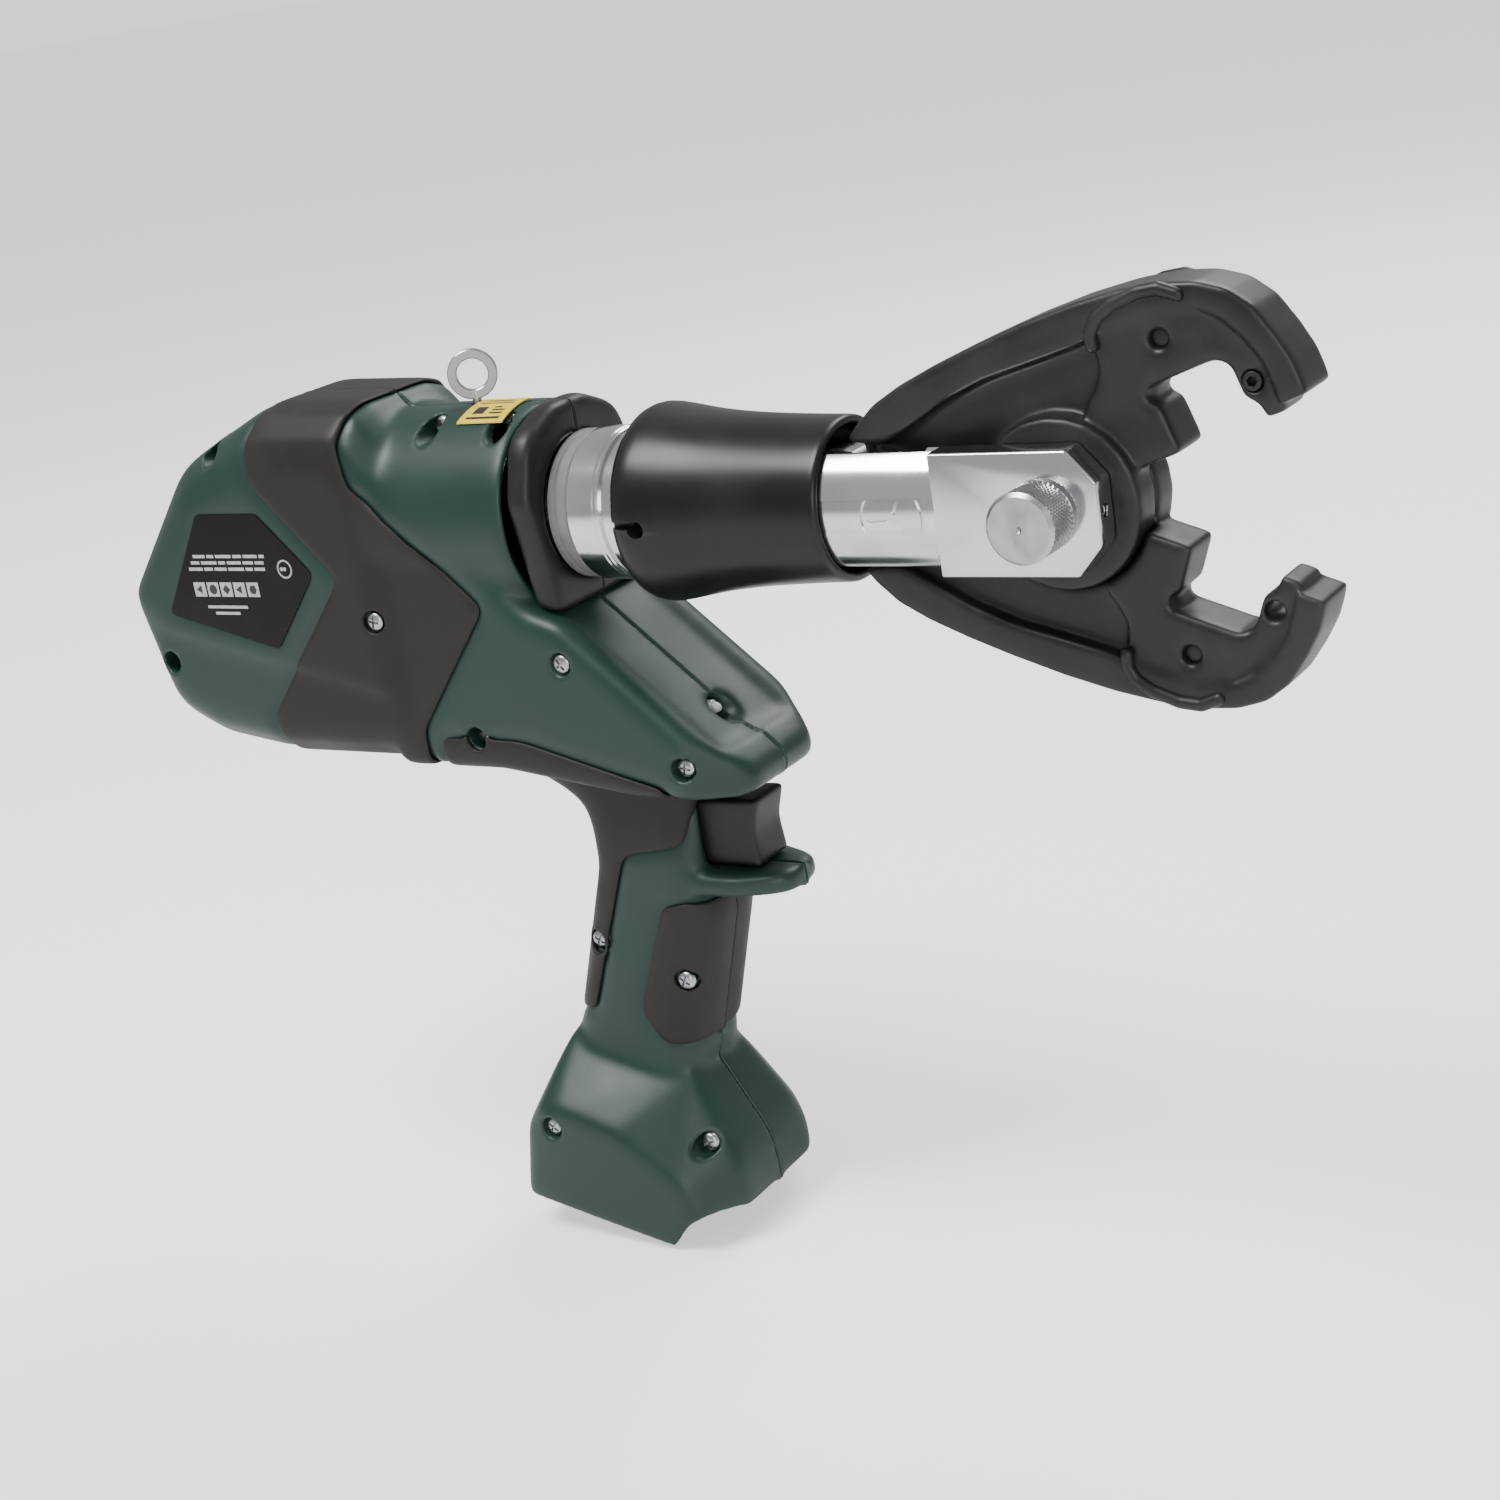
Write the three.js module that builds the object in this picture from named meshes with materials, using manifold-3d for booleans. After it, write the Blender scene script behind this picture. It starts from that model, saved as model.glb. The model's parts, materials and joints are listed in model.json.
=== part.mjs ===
// Cordless hydraulic crimping tool with a swivelling scissor-jaw head.
// Millimetres, +X towards the jaws, +Y left, +Z up. The model is drawn round the jaw pin, on the axis of
// the hydraulic barrel, and the exported group then moves its origin to the middle of the lowest face.
import * as THREE from "three";
import { ConvexGeometry } from "three/addons/geometries/ConvexGeometry.js";
import { mergeVertices } from "three/addons/utils/BufferGeometryUtils.js";
import Module from "manifold-3d";

// Casing
const BODY_HALF_WIDTH = 34; // rear body, side face to parting plane
const BARREL_RADIUS = 33.5; // round top of the casing, on the ram axis
const GUSSET_HALF_WIDTH = 31; // side plate that carries the load down to the grip
const GRIP_HALF_WIDTH = 18.5;
const FOOT_HALF_WIDTH = 37;
const FOOT_BOTTOM = -20.5; // rim of the battery opening, below the middle of the foot
const WALL = 3.2;
const LEDGE_DEPTH = 1.3; // step in the side of the rear body, below the label
const TROUGH_HALF_WIDTH = 21.5; // hollow in the sloping top of the prow
const SKIN = 1.9; // soft overmould
const LABEL_DEPTH = 1;
const SKIN_PROUD = 0.3;
const GAP = 0.3; // between pieces that touch
const SPLIT = 0.15; // half the gap between the two casing halves
const CASING_FRONT = -178; // where the nose cover starts
const BARREL_HIDDEN_END = -256; // rear end of the round barrel, inside the rear body
const BODY_ROUND = 18; // edge rounds of the casing's forms
const GUSSET_ROUND = 5;
const GRIP_ROUND = 11;
const FOOT_X = -184; // middle of the foot's neck ring
const FOOT_Z = -222;
const LIP_HALF_WIDTH = 17.5; // finger rest below the trigger
const LIP_THICKNESS = 8;
const LIP_BOTTOM = -126.5;
const BARREL_SIDES = 36;
const NOSE_THICKNESS = 9.5;

// Hydraulic barrel
const CYLINDER_RADIUS = 22;
const COLLAR_RADIUS = 24;
const BORE_RADIUS = 16.8;
const PISTON_CLEARANCE = 0.3;
const ROD_RADIUS = 9;
const STROKE = 27;
const CYLINDER_REAR = -222;
const CYLINDER_FRONT = -128;
const PISTON_REAR = -206;
const PISTON_LENGTH = 12;
const SPIGOT_REAR = -148; // rear end of the fork's swivel spigot
const RETAINER_X = -134;
const RETAINER_WIRE = 1.2;
const COLLAR_REAR = -160.5;
const COLLAR_LENGTH = 12;

// Head
const FORK_HALF_HEIGHT = 18;
const FORK_HALF_WIDTH = 22;
const FORK_SLOT = 13; // half the gap between the fork's arms
const FORK_FRONT = 17;
const FORK_SLOT_REAR = -97;
const FORK_STEP = -33; // where the round rear of the fork meets its flat arms
const ARM_CLEARANCE = FORK_SLOT - 0.7; // half width of what runs between the arms
const PIN_RADIUS = 8;
const KNOB_RADIUS = 10.5;
const KNOB_LENGTH = 14.7;
const LOCK_SCREW_RADIUS = 1.5;
const RUNNING = 0.05; // radial clearance of a running fit
const SIDES = 20; // flats on a turned piece
const SLEEVE_REAR = -141;
const SLEEVE_FRONT = -71;
const SLEEVE_WALL = 2;
const SLEEVE_BORE = FORK_HALF_WIDTH + GAP;
const HUB_RADIUS = 25;
const HUB_HALF_WIDTH = FORK_SLOT - 0.5;
const JAW_FACE = 0.3; // the closed jaws' faces stay this far off the ram axis
const JAW_OPENING = THREE.MathUtils.degToRad(19); // each jaw, from closed to wide open
const RIM_HALF_WIDTH = 10;
const WEB_HALF_WIDTH = 5;
const BLOCK_HALF_WIDTH = 9;
const ROLLER_RADIUS = 8;
const ROLLER_REST = -69; // x of the roller axles when the jaws are open
const ROLLER_SPREAD = ROLLER_RADIUS + GAP; // height of each roller axle above or below the ram axis
const ROLLER_HALF_LENGTH = 7.5;
const AXLE_RADIUS = 2.5;
const TIP_HALF_WIDTH = 8;
const DIE_PIN = { x: 46, z: 31, radius: 2.5 };
const TIP_PLUG = { x: 65.5, z: 11, radius: 2.7 };

// Drive
const MOTOR_RADIUS = 18.5;
const MOTOR_Z = -26;
const MOTOR_REAR = -328.5;
const MOTOR_LENGTH = 51;
const GEARBOX_LENGTH = 18;
const SHAFT_RADIUS = 3;
const ECCENTRIC_OFFSET = 2;
const PLUNGER_X = -252;
const PLUNGER_RADIUS = 3;
const ECCENTRIC_RADIUS = 6;
const PUMP_HALF_WIDTH = 20;
const PUMP_TOP = 22;

// Fasteners and controls
const SCREW_HEAD_RADIUS = 3.25;
const SCREW_HEAD_HEIGHT = 2.2;
const SCREW_RADIUS = 1.75;
const SCREW_END = 7; // how far past the parting plane a screw reaches
const WELL_CLEARANCE = 0.75; // round a screw's head
const BOSS_RADIUS = 5.4;
const TRIGGER_HALF_WIDTH = 9;
const TRIGGER_TRAVEL = 6;
const TRIGGER_TOP = -94;
const TRIGGER_BOTTOM = -118.5;
const STEM_END = -152; // rear end of the trigger's stem
const FOOT_TILT = THREE.MathUtils.degToRad(11.5);
const RING_RADIUS = 6.6;
const RING_WIRE = 1.5;
const RING_X = -205.5;
const RING_TURN = THREE.MathUtils.degToRad(34);
const STICKER = { rear: -203, front: -185, right: -16, left: 1 };

// Casing screws: x and z of the axis, and y of the seat under the head.
const SCREWS = [
  [-300, 25, 20 - BODY_HALF_WIDTH],
  [-334, -46, 18 - BODY_HALF_WIDTH],
  [-213.5, 28.3, -8],
  [-186, 28.3, -8],
  [-238, -30, 2.5 - BODY_HALF_WIDTH],
  [-168, -44, 2.5 - GUSSET_HALF_WIDTH],
  [-207, -70, 7 - GUSSET_HALF_WIDTH],
  [-129, -77.5, 4.5 - GUSSET_HALF_WIDTH],
  [-151, -156, 2.5 - GRIP_HALF_WIDTH],
  [-184, -145, 4.5 - GRIP_HALF_WIDTH],
  [-203, -207, 4 - FOOT_HALF_WIDTH],
  [-149, -212, 16 - FOOT_HALF_WIDTH],
];

// Work light: a small lamp at the rear end of a round well in the sloping top of the prow
const LAMP = { x: -136, z: -67.5, radius: 2.5, wellRadius: 4.6, wellWall: 2 };

// Outlines in the XZ plane: x, z and the corner's radius
const REAR_BODY = [
  [-238, 39, 12],
  [-277, 40, 30],
  [-318, 22, 30],
  [-354, -22, 14],
  [-343, -66, 20],
  [-322, -76, 10],
  [-290, -81, 10],
  [-222, -81, 4],
  [-222, 20, 10],
];
const GUSSET = [
  [-243, 25, 6],
  [-222, 16, 8],
  [-179, -27, 4],
  [-167, -31, 4],
  [-110, -81, 8],
  [-110, -90, 3],
  [-150, -88, 6],
  [-200, -81, 6],
  [-243, -81, 4],
];
// Plan of the prow: x, y and the corner's radius
const PROW = [
  [-300, -45, 0],
  [-140, -45, 0],
  [-130, -32, 12],
  [-108, -17, 16],
  [-108, 17, 16],
  [-130, 32, 12],
  [-140, 45, 0],
  [-300, 45, 0],
];
const TROUGH = [
  [-180, -22.5, 0],
  [-118.5, -76.3, 6],
  [-108, -66, 0],
  [-165, -10, 0],
];
const BELOW_LEDGE = [
  [-370, -25, 0],
  [-337, -33, 3],
  [-221, -58.5, 0],
  [-221, -100, 0],
  [-370, -100, 0],
];
const GRIP = [
  [-232, -50, 3],
  [-232, -76, 3],
  [-202, -87, 14],
  [-182, -98, 16],
  [-182, -118, 20],
  [-203, -180, 8],
  [-206, -200, 4],
  [-159, -204, 4],
  [-152, -182, 8],
  [-138, -136, 8],
  [-138, -75, 3],
  [-163, -50, 3],
];
const BAND = [
  [-272, 60, 0],
  [-282, 26, 10],
  [-278, 13, 4],
  [-251, -16, 2],
  [-292, -63, 6],
  [-292, -100, 0],
  [-227, -100, 0],
  [-227, -68, 5],
  [-193, -26, 4],
  [-237, 15, 8],
  [-240, 28, 8],
  [-234, 60, 0],
];
const BACKSTRAP = [
  [-223, -69, 4],
  [-190, -69, 30],
  [-135, -84, 4],
  [-143, -110, 5],
  [-166, -114, 5],
  [-189, -171, 4],
  [-215, -174, 0],
  [-223, -120, 0],
];
const GRIP_PAD = [
  [-100, -131, 0],
  [-147, -127.5, 4],
  [-156, -130, 5],
  [-172, -169, 7],
  [-164, -181, 8],
  [-120, -184, 0],
];
const LABEL = [
  [-306, 7, 2],
  [-279, 7, 2],
  [-259, -14, 3],
  [-281, -40, 2],
  [-328, -28, 2],
];

const wasm = await Module();
wasm.setup();

// --- solids ---

function solid(geometry) {
  const bare = geometry.clone();
  for (const name of Object.keys(bare.attributes)) {
    if (name !== "position") bare.deleteAttribute(name);
  }
  const merged = mergeVertices(bare, 1e-4);
  const mesh = new wasm.Mesh({
    numProp: 3,
    vertProperties: merged.attributes.position.array,
    triVerts: new Uint32Array(merged.index.array),
  });
  return new wasm.Manifold(mesh);
}

function geometryOf(body) {
  const { vertProperties, triVerts } = body.getMesh();
  return new THREE.BufferGeometry()
    .setAttribute("position", new THREE.BufferAttribute(new Float32Array(vertProperties), 3))
    .setIndex(new THREE.BufferAttribute(new Uint32Array(triVerts), 1));
}

const join = (...bodies) => bodies.reduce((whole, next) => whole.add(next));
const largest = (body) => body.decompose().sort((a, b) => b.volume() - a.volume())[0];
const cut = (body, ...tools) => tools.reduce((left, tool) => left.subtract(tool), body);

function box(x0, x1, y0, y1, z0, z1) {
  const shape = new THREE.BoxGeometry(x1 - x0, y1 - y0, z1 - z0);
  return solid(shape.translate((x0 + x1) / 2, (y0 + y1) / 2, (z0 + z1) / 2));
}

// A shape whose corners are rounded; each corner is [a, b, radius].
function rounded(corners) {
  const points = corners.map(([a, b]) => new THREE.Vector2(a, b));
  const shape = new THREE.Shape();
  corners.forEach(([, , radius], i) => {
    const corner = points[i];
    const before = points[(i + points.length - 1) % points.length].clone().sub(corner);
    const after = points[(i + 1) % points.length].clone().sub(corner);
    const halfAngle = Math.acos(before.dot(after) / (before.length() * after.length())) / 2;
    const reach = Math.min(radius / Math.tan(halfAngle), 0.48 * before.length(), 0.48 * after.length());
    const sharp = reach < 0.4;
    const enter = sharp ? corner : corner.clone().add(before.setLength(reach));
    const leave = corner.clone().add(after.setLength(reach));
    if (i === 0) shape.moveTo(enter.x, enter.y);
    else shape.lineTo(enter.x, enter.y);
    if (!sharp) shape.quadraticCurveTo(corner.x, corner.y, leave.x, leave.y);
  });
  shape.closePath();
  return shape;
}

// An outline with every edge moved inwards; its rounds stay concentric.
function drawnIn(corners, distance) {
  const points = corners.map(([a, b]) => new THREE.Vector2(a, b));
  const turn = Math.sign(THREE.ShapeUtils.area(points));
  const edges = points.map((point, i) => {
    const along = points[(i + 1) % points.length].clone().sub(point).normalize();
    const inward = new THREE.Vector2(-along.y, along.x).multiplyScalar(turn);
    return { start: point.clone().addScaledVector(inward, distance), along };
  });
  return corners.map(([, , radius], i) => {
    const before = edges[(i + edges.length - 1) % edges.length];
    const after = edges[i];
    const sine = before.along.cross(after.along);
    const reach = after.start.clone().sub(before.start).cross(after.along) / sine;
    const { x, y } = before.start.clone().addScaledVector(before.along, reach);
    return [x, y, Math.max(radius - Math.sign(sine * turn) * distance, 0.5)];
  });
}

// An XZ outline as a plate from y0 to y1. A round of the given size runs along both faces' edges;
// fineness is the number of steps in each round.
function plate(corners, y0, y1, round = 0, fineness = 2) {
  const geometry = new THREE.ExtrudeGeometry(rounded(drawnIn(corners, round)), {
    depth: y1 - y0 - 2 * round,
    curveSegments: fineness,
    bevelEnabled: round > 0,
    bevelThickness: round,
    bevelSize: round,
    bevelSegments: fineness,
  });
  return solid(geometry.rotateX(Math.PI / 2).translate(0, y1 - round, 0));
}

// A plate on both sides of the parting plane, drawn in by inset all round.
function slab(corners, halfWidth, round, inset) {
  const half = halfWidth - inset;
  return plate(drawnIn(corners, inset), -half, half, Math.max(round - inset, 1), inset < WALL ? 3 : 1);
}

// A plan in the XY plane, drawn in by inset, as an upright block.
function upright(corners, inset) {
  const geometry = new THREE.ExtrudeGeometry(rounded(drawnIn(corners, inset)), {
    depth: 200,
    bevelEnabled: false,
    curveSegments: 4,
  });
  return solid(geometry.translate(0, 0, -120));
}

const prism = (corners) => plate(corners, -80, 80);

// A profile of [x, radius] pairs turned round the ram axis. It starts and ends on the axis or closes.
function turned(profile, sides = SIDES) {
  const points = profile.map(([x, radius]) => new THREE.Vector2(radius, x));
  return solid(new THREE.LatheGeometry(points, sides).rotateZ(-Math.PI / 2));
}

const rod = (x0, x1, radius, sides = SIDES) =>
  turned([[x0, 0], [x0, radius], [x1, radius], [x1, 0]], sides);

const ring = (x0, x1, inner, outer, sides = SIDES) =>
  turned([[x0, inner], [x0, outer], [x1, outer], [x1, inner], [x0, inner]], sides);

function pinAlongY(x, z, y0, y1, radius, sides = 16) {
  const geometry = new THREE.CylinderGeometry(radius, radius, y1 - y0, sides);
  return solid(geometry.translate(x, (y0 + y1) / 2, z));
}

// A shaft that turns in a faceted bore, and a faceted bore that a shaft turns in
const shaftFor = (boreRadius) => boreRadius * Math.cos(Math.PI / SIDES) - RUNNING;
const boreFor = (shaftRadius, sides = SIDES) => (shaftRadius + RUNNING) / Math.cos(Math.PI / sides);

const rightHalf = (body) => body.intersect(box(-500, 200, -100, -SPLIT, -400, 200));
const leftHalf = (body) => body.intersect(box(-500, 200, SPLIT, 100, -400, 200));

// --- casing ---

// The battery foot before it is tilted: neck ring, shoulders and the skirt round the battery. The inner
// form runs on below the skirt, which leaves the foot open for the battery.
function foot(inset) {
  const half = FOOT_HALF_WIDTH - inset;
  const neck = GRIP_HALF_WIDTH - inset - 3;
  const front = 20 - inset;
  const bottom = inset > 0 ? -40 : FOOT_BOTTOM;
  const points = [];
  for (const side of [-1, 1]) {
    for (const [x, y, z] of [
      [-27 + inset, neck, 38], [21 - inset, neck, 37],
      [-28, half - 1, 16], [-20, half, 19 - inset], [3, half, 17 - inset], [19, half, 11 - inset],
      [30, half, 5 - inset], [36.5, half - 1.5, -4], [36.5, half - 1.5, bottom],
      [33 - inset, 13, 18.5 - inset], [40.5 - inset, front, 15.5 - inset], [44.5 - inset, front, 9],
      [47.5 - inset, front, -2.5], [47.5 - inset, front, bottom],
      [-36 + inset, half - 9, 6], [-36 + inset, half - 9, bottom],
      [-32 + inset, half - 1.5, 8], [-32 + inset, half - 1.5, bottom],
    ]) {
      points.push(new THREE.Vector3(x, side * y, z));
    }
  }
  const whole = solid(new ConvexGeometry(points));
  const belowFront = [
    [25, -45, 0], [27, -22, 0], [33, -9.5, 4], [37, -6.5, 3], [41, -5, 0], [70, -5, 0], [70, -45, 0],
  ];
  const frontCut = plate(belowFront, -60, 60);
  return inset > 0 ? whole : whole.subtract(frontCut);
}

function placeFoot(body) {
  return body.rotate([0, THREE.MathUtils.radToDeg(FOOT_TILT), 0]).translate([FOOT_X, 0, FOOT_Z]);
}

function triggerLip(inset) {
  const half = LIP_HALF_WIDTH - inset;
  const outline = rounded([
    [-150, -half, 2], [-128, -half, 10], [-109 + inset, -half * 0.55, 10],
    [-109 + inset, half * 0.55, 10], [-128, half, 10], [-150, half, 2],
  ]);
  const depth = LIP_THICKNESS - 2 * inset;
  const geometry = new THREE.ExtrudeGeometry(outline, { depth, bevelEnabled: false, curveSegments: 3 });
  return solid(geometry.translate(0, 0, LIP_BOTTOM + inset));
}

// The rear body: its sides step in below a sloping ledge.
function rearBody(inset) {
  const side = BODY_HALF_WIDTH - LEDGE_DEPTH - inset;
  const steps = [plate(BELOW_LEDGE, -80, -side), plate(BELOW_LEDGE, side, 80)];
  return cut(slab(REAR_BODY, BODY_HALF_WIDTH, BODY_ROUND, inset), ...steps);
}

// The side plates and the prow between them, whose top is hollowed.
function gusset(inset) {
  const half = TROUGH_HALF_WIDTH + inset;
  const trough = plate(drawnIn(TROUGH, -inset), -half, half, 3, 2);
  const plates = slab(GUSSET, GUSSET_HALF_WIDTH, GUSSET_ROUND, inset);
  return plates.intersect(upright(PROW, inset)).subtract(trough);
}

// The outer form of the casing, drawn in by inset on every side.
function casing(inset) {
  const body = join(
    rearBody(inset),
    rod(BARREL_HIDDEN_END + inset, CASING_FRONT, BARREL_RADIUS - inset, inset < WALL ? BARREL_SIDES : SIDES),
    gusset(inset),
    slab(GRIP, GRIP_HALF_WIDTH, GRIP_ROUND, inset),
    placeFoot(foot(inset)),
  );
  return inset < WALL ? body.add(triggerLip(Math.max(inset, 0))) : body;
}

const outside = casing(0);
const cavity = casing(WALL);

function skin(outline) {
  const layer = casing(-SKIN_PROUD).subtract(casing(SKIN - SKIN_PROUD));
  return layer.intersect(prism(drawnIn(outline, GAP)));
}

const skins = { band: BAND, backstrap: BACKSTRAP, grip_pad: GRIP_PAD };
const recessFloor = casing(SKIN - SKIN_PROUD + GAP);

// --- casing halves, with their screw bosses and openings ---

const WELL_RADIUS = SCREW_HEAD_RADIUS + WELL_CLEARANCE;

function bossAndHoles([x, z, seat]) {
  const boss = pinAlongY(x, z, -60, 60, BOSS_RADIUS, 8).intersect(outside);
  const well = pinAlongY(x, z, -60, seat, WELL_RADIUS, 10);
  const hole = pinAlongY(x, z, seat - 1, SCREW_END + 1, SCREW_RADIUS + GAP, 6);
  return { boss, holes: well.add(hole) };
}

// The work light's well, which runs out through the sloping top, and the lamp's hole behind it
function lampWell() {
  const { x, z, radius, wellRadius, wellWall } = LAMP;
  const tube = rod(x - wellWall, x + 25, wellRadius + wellWall, 16).translate([0, 0, z]);
  const well = rod(x, x + 40, wellRadius, 16).translate([0, 0, z]);
  const hole = rod(x - wellWall - 1, x + 1, radius + GAP, 12).translate([0, 0, z]);
  return { boss: tube.intersect(outside), holes: well.add(hole) };
}

function workLight() {
  const { x, z, radius } = LAMP;
  const profile = [
    [x - 6, 0], [x - 6, radius], [x + 2, radius],
    [x + 3.6, radius * 0.75], [x + 4.4, radius * 0.3], [x + 4.5, 0],
  ];
  return turned(profile, 12).translate([0, 0, z]);
}

const triggerOpening = () => {
  const half = TRIGGER_HALF_WIDTH + GAP;
  return box(-146, -100, -half, half, TRIGGER_BOTTOM, TRIGGER_TOP);
};

function makeCasing() {
  let shell = outside.subtract(cavity);
  const mouth = rod(CASING_FRONT - 20, CASING_FRONT + 12, BARREL_RADIUS - WALL, 40);
  const openings = [
    mouth.intersect(box(-300, 0, -40, 40, -28, 40)),
    triggerOpening(),
    rod(0, 30, RING_WIRE + GAP, 8).rotate([0, -90, 0]).translate([RING_X, 0, BARREL_RADIUS - 12]),
  ];
  const fittings = [...SCREWS.map(bossAndHoles), lampWell()];
  for (const { boss } of fittings) shell = shell.add(boss);
  for (const { holes } of fittings) shell = shell.subtract(holes);
  const grown = casing(-1);
  for (const outline of Object.values(skins)) {
    shell = shell.subtract(grown.subtract(recessFloor).intersect(prism(outline)));
  }
  shell = cut(shell, ...openings);
  return largest(shell.subtract(plate(LABEL, -80, LABEL_DEPTH - BODY_HALF_WIDTH)));
}

// A section in the YZ plane, as a plate from x0 to x1 with rounded edges.
const sectionAlongX = (corners, x0, x1, round) => plate(corners, -x1, -x0, round).rotate([0, 0, 90]);

function noseCover() {
  const back = CASING_FRONT + GAP;
  const section = [
    [25, -30.5, 3], [31.5, 8, 8], [25, 27, 12], [8, BARREL_RADIUS + 0.5, 12],
    [-8, BARREL_RADIUS + 0.5, 12], [-25, 27, 12], [-31.5, 8, 8], [-25, -30.5, 3],
  ];
  const cover = sectionAlongX(section, back - 4, CASING_FRONT + NOSE_THICKNESS, 2.5);
  const clear = rod(back - 20, back + 20, CYLINDER_RADIUS + GAP);
  const behind = box(back - 20, back, -60, 60, -60, 60);
  return cut(cover, clear, behind, casing(-GAP));
}

// --- hydraulic barrel and drive ---

const cylinder = () => turned([
  [CYLINDER_REAR, 0],
  [CYLINDER_REAR, CYLINDER_RADIUS],
  [COLLAR_REAR, CYLINDER_RADIUS],
  [COLLAR_REAR, COLLAR_RADIUS],
  [COLLAR_REAR + COLLAR_LENGTH, COLLAR_RADIUS],
  [COLLAR_REAR + COLLAR_LENGTH, COLLAR_RADIUS - 1.5],
  [COLLAR_REAR + COLLAR_LENGTH + 1.5, COLLAR_RADIUS - 1.5],
  [COLLAR_REAR + COLLAR_LENGTH + 1.5, COLLAR_RADIUS - 0.5],
  [SLEEVE_REAR - GAP, COLLAR_RADIUS - 0.5],
  [SLEEVE_REAR - GAP, CYLINDER_RADIUS - 0.5],
  [CYLINDER_FRONT, CYLINDER_RADIUS - 0.5],
  [CYLINDER_FRONT, BORE_RADIUS],
  [RETAINER_X + RETAINER_WIRE, BORE_RADIUS],
  [RETAINER_X + RETAINER_WIRE, BORE_RADIUS + 1.8],
  [RETAINER_X - RETAINER_WIRE, BORE_RADIUS + 1.8],
  [RETAINER_X - RETAINER_WIRE, BORE_RADIUS],
  [CYLINDER_REAR + 12, BORE_RADIUS],
  [CYLINDER_REAR + 12, 0],
]);

function retainer() {
  const half = RETAINER_WIRE - GAP;
  return ring(RETAINER_X - half, RETAINER_X + half, BORE_RADIUS - 1.2, BORE_RADIUS + 1.5);
}

function cylinderSeal() {
  const rear = CASING_FRONT + NOSE_THICKNESS + 2 * GAP;
  return ring(rear, COLLAR_REAR - GAP, CYLINDER_RADIUS + GAP, COLLAR_RADIUS - 0.6);
}

// Closed coils of a spring round the ram axis: a ribbed tube, drawn at the length it has when squeezed.
function squeezedSpring(x0, x1, inner, wire, coils) {
  const pitch = (x1 - x0) / coils;
  const outer = [];
  for (let i = 0; i < coils; i++) {
    outer.push([x0 + i * pitch, inner + wire * 0.6], [x0 + (i + 0.5) * pitch, inner + wire]);
  }
  outer.push([x1, inner + wire * 0.6]);
  return turned([[x0, inner], ...outer, [x1, inner], [x0, inner]], 16);
}

const pistonRadius = BORE_RADIUS - PISTON_CLEARANCE;

function ram() {
  const groove = [PISTON_REAR + 4, PISTON_REAR + 8];
  const carrier = ROLLER_REST - 9;
  const shaft = turned([
    [PISTON_REAR, 0],
    [PISTON_REAR, pistonRadius],
    [groove[0], pistonRadius],
    [groove[0], pistonRadius - 2.5],
    [groove[1], pistonRadius - 2.5],
    [groove[1], pistonRadius],
    [PISTON_REAR + PISTON_LENGTH, pistonRadius],
    [PISTON_REAR + PISTON_LENGTH, ROD_RADIUS],
    [carrier - 4, ROD_RADIUS],
    [carrier - 4, 0],
  ]);
  const cheekHeight = ROLLER_SPREAD + AXLE_RADIUS + 1.5;
  const block = box(carrier - 10, carrier, -ARM_CLEARANCE, ARM_CLEARANCE, -ROD_RADIUS, ROD_RADIUS);
  const cheeks = [-1, 1].map((side) => {
    const edges = [side * (ROLLER_HALF_LENGTH + GAP), side * ARM_CLEARANCE].sort((a, b) => a - b);
    return box(carrier - 6, ROLLER_REST + 5, edges[0], edges[1], -cheekHeight, cheekHeight);
  });
  const axleHoles = [-1, 1].map((side) =>
    pinAlongY(ROLLER_REST, side * ROLLER_SPREAD, -20, 20, boreFor(AXLE_RADIUS, 12), 12));
  return cut(join(shaft, block, ...cheeks), ...axleHoles);
}

function roller(side) {
  const z = side * ROLLER_SPREAD;
  const drum = pinAlongY(ROLLER_REST, z, -ROLLER_HALF_LENGTH, ROLLER_HALF_LENGTH, ROLLER_RADIUS, 16);
  return drum.subtract(pinAlongY(ROLLER_REST, z, -20, 20, boreFor(AXLE_RADIUS, 12), 12));
}

const axle = (side) =>
  pinAlongY(ROLLER_REST, side * ROLLER_SPREAD, GAP - ARM_CLEARANCE, ARM_CLEARANCE - GAP, AXLE_RADIUS, 12);

const pistonSeal = () =>
  ring(PISTON_REAR + 4 + GAP, PISTON_REAR + 8 - GAP, pistonRadius - 2.2, shaftFor(BORE_RADIUS));

const motor = () => cut(
  rod(MOTOR_REAR, MOTOR_REAR + MOTOR_LENGTH, MOTOR_RADIUS, 24),
  rod(MOTOR_REAR + MOTOR_LENGTH - 14, MOTOR_REAR + MOTOR_LENGTH + 1, SHAFT_RADIUS + GAP, 12),
).translate([0, 0, MOTOR_Z]);

const gearboxRear = MOTOR_REAR + MOTOR_LENGTH + GAP;
const gearboxFront = gearboxRear + GEARBOX_LENGTH;

const gearbox = () => cut(
  rod(gearboxRear, gearboxFront, MOTOR_RADIUS - 1, 24),
  rod(gearboxRear - 1, gearboxRear + GEARBOX_LENGTH / 2, SHAFT_RADIUS + 3, 16),
  rod(gearboxRear + GEARBOX_LENGTH / 2 - 1, gearboxFront + 1, boreFor(SHAFT_RADIUS, 16), 16),
).translate([0, 0, MOTOR_Z]);

// Motor shaft with its pinion
const motorShaft = () => join(
  rod(gearboxRear - 12, gearboxRear + 6, SHAFT_RADIUS, 12),
  rod(gearboxRear + 1, gearboxRear + 6, SHAFT_RADIUS + 2, 10),
).translate([0, 0, MOTOR_Z]);

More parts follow.
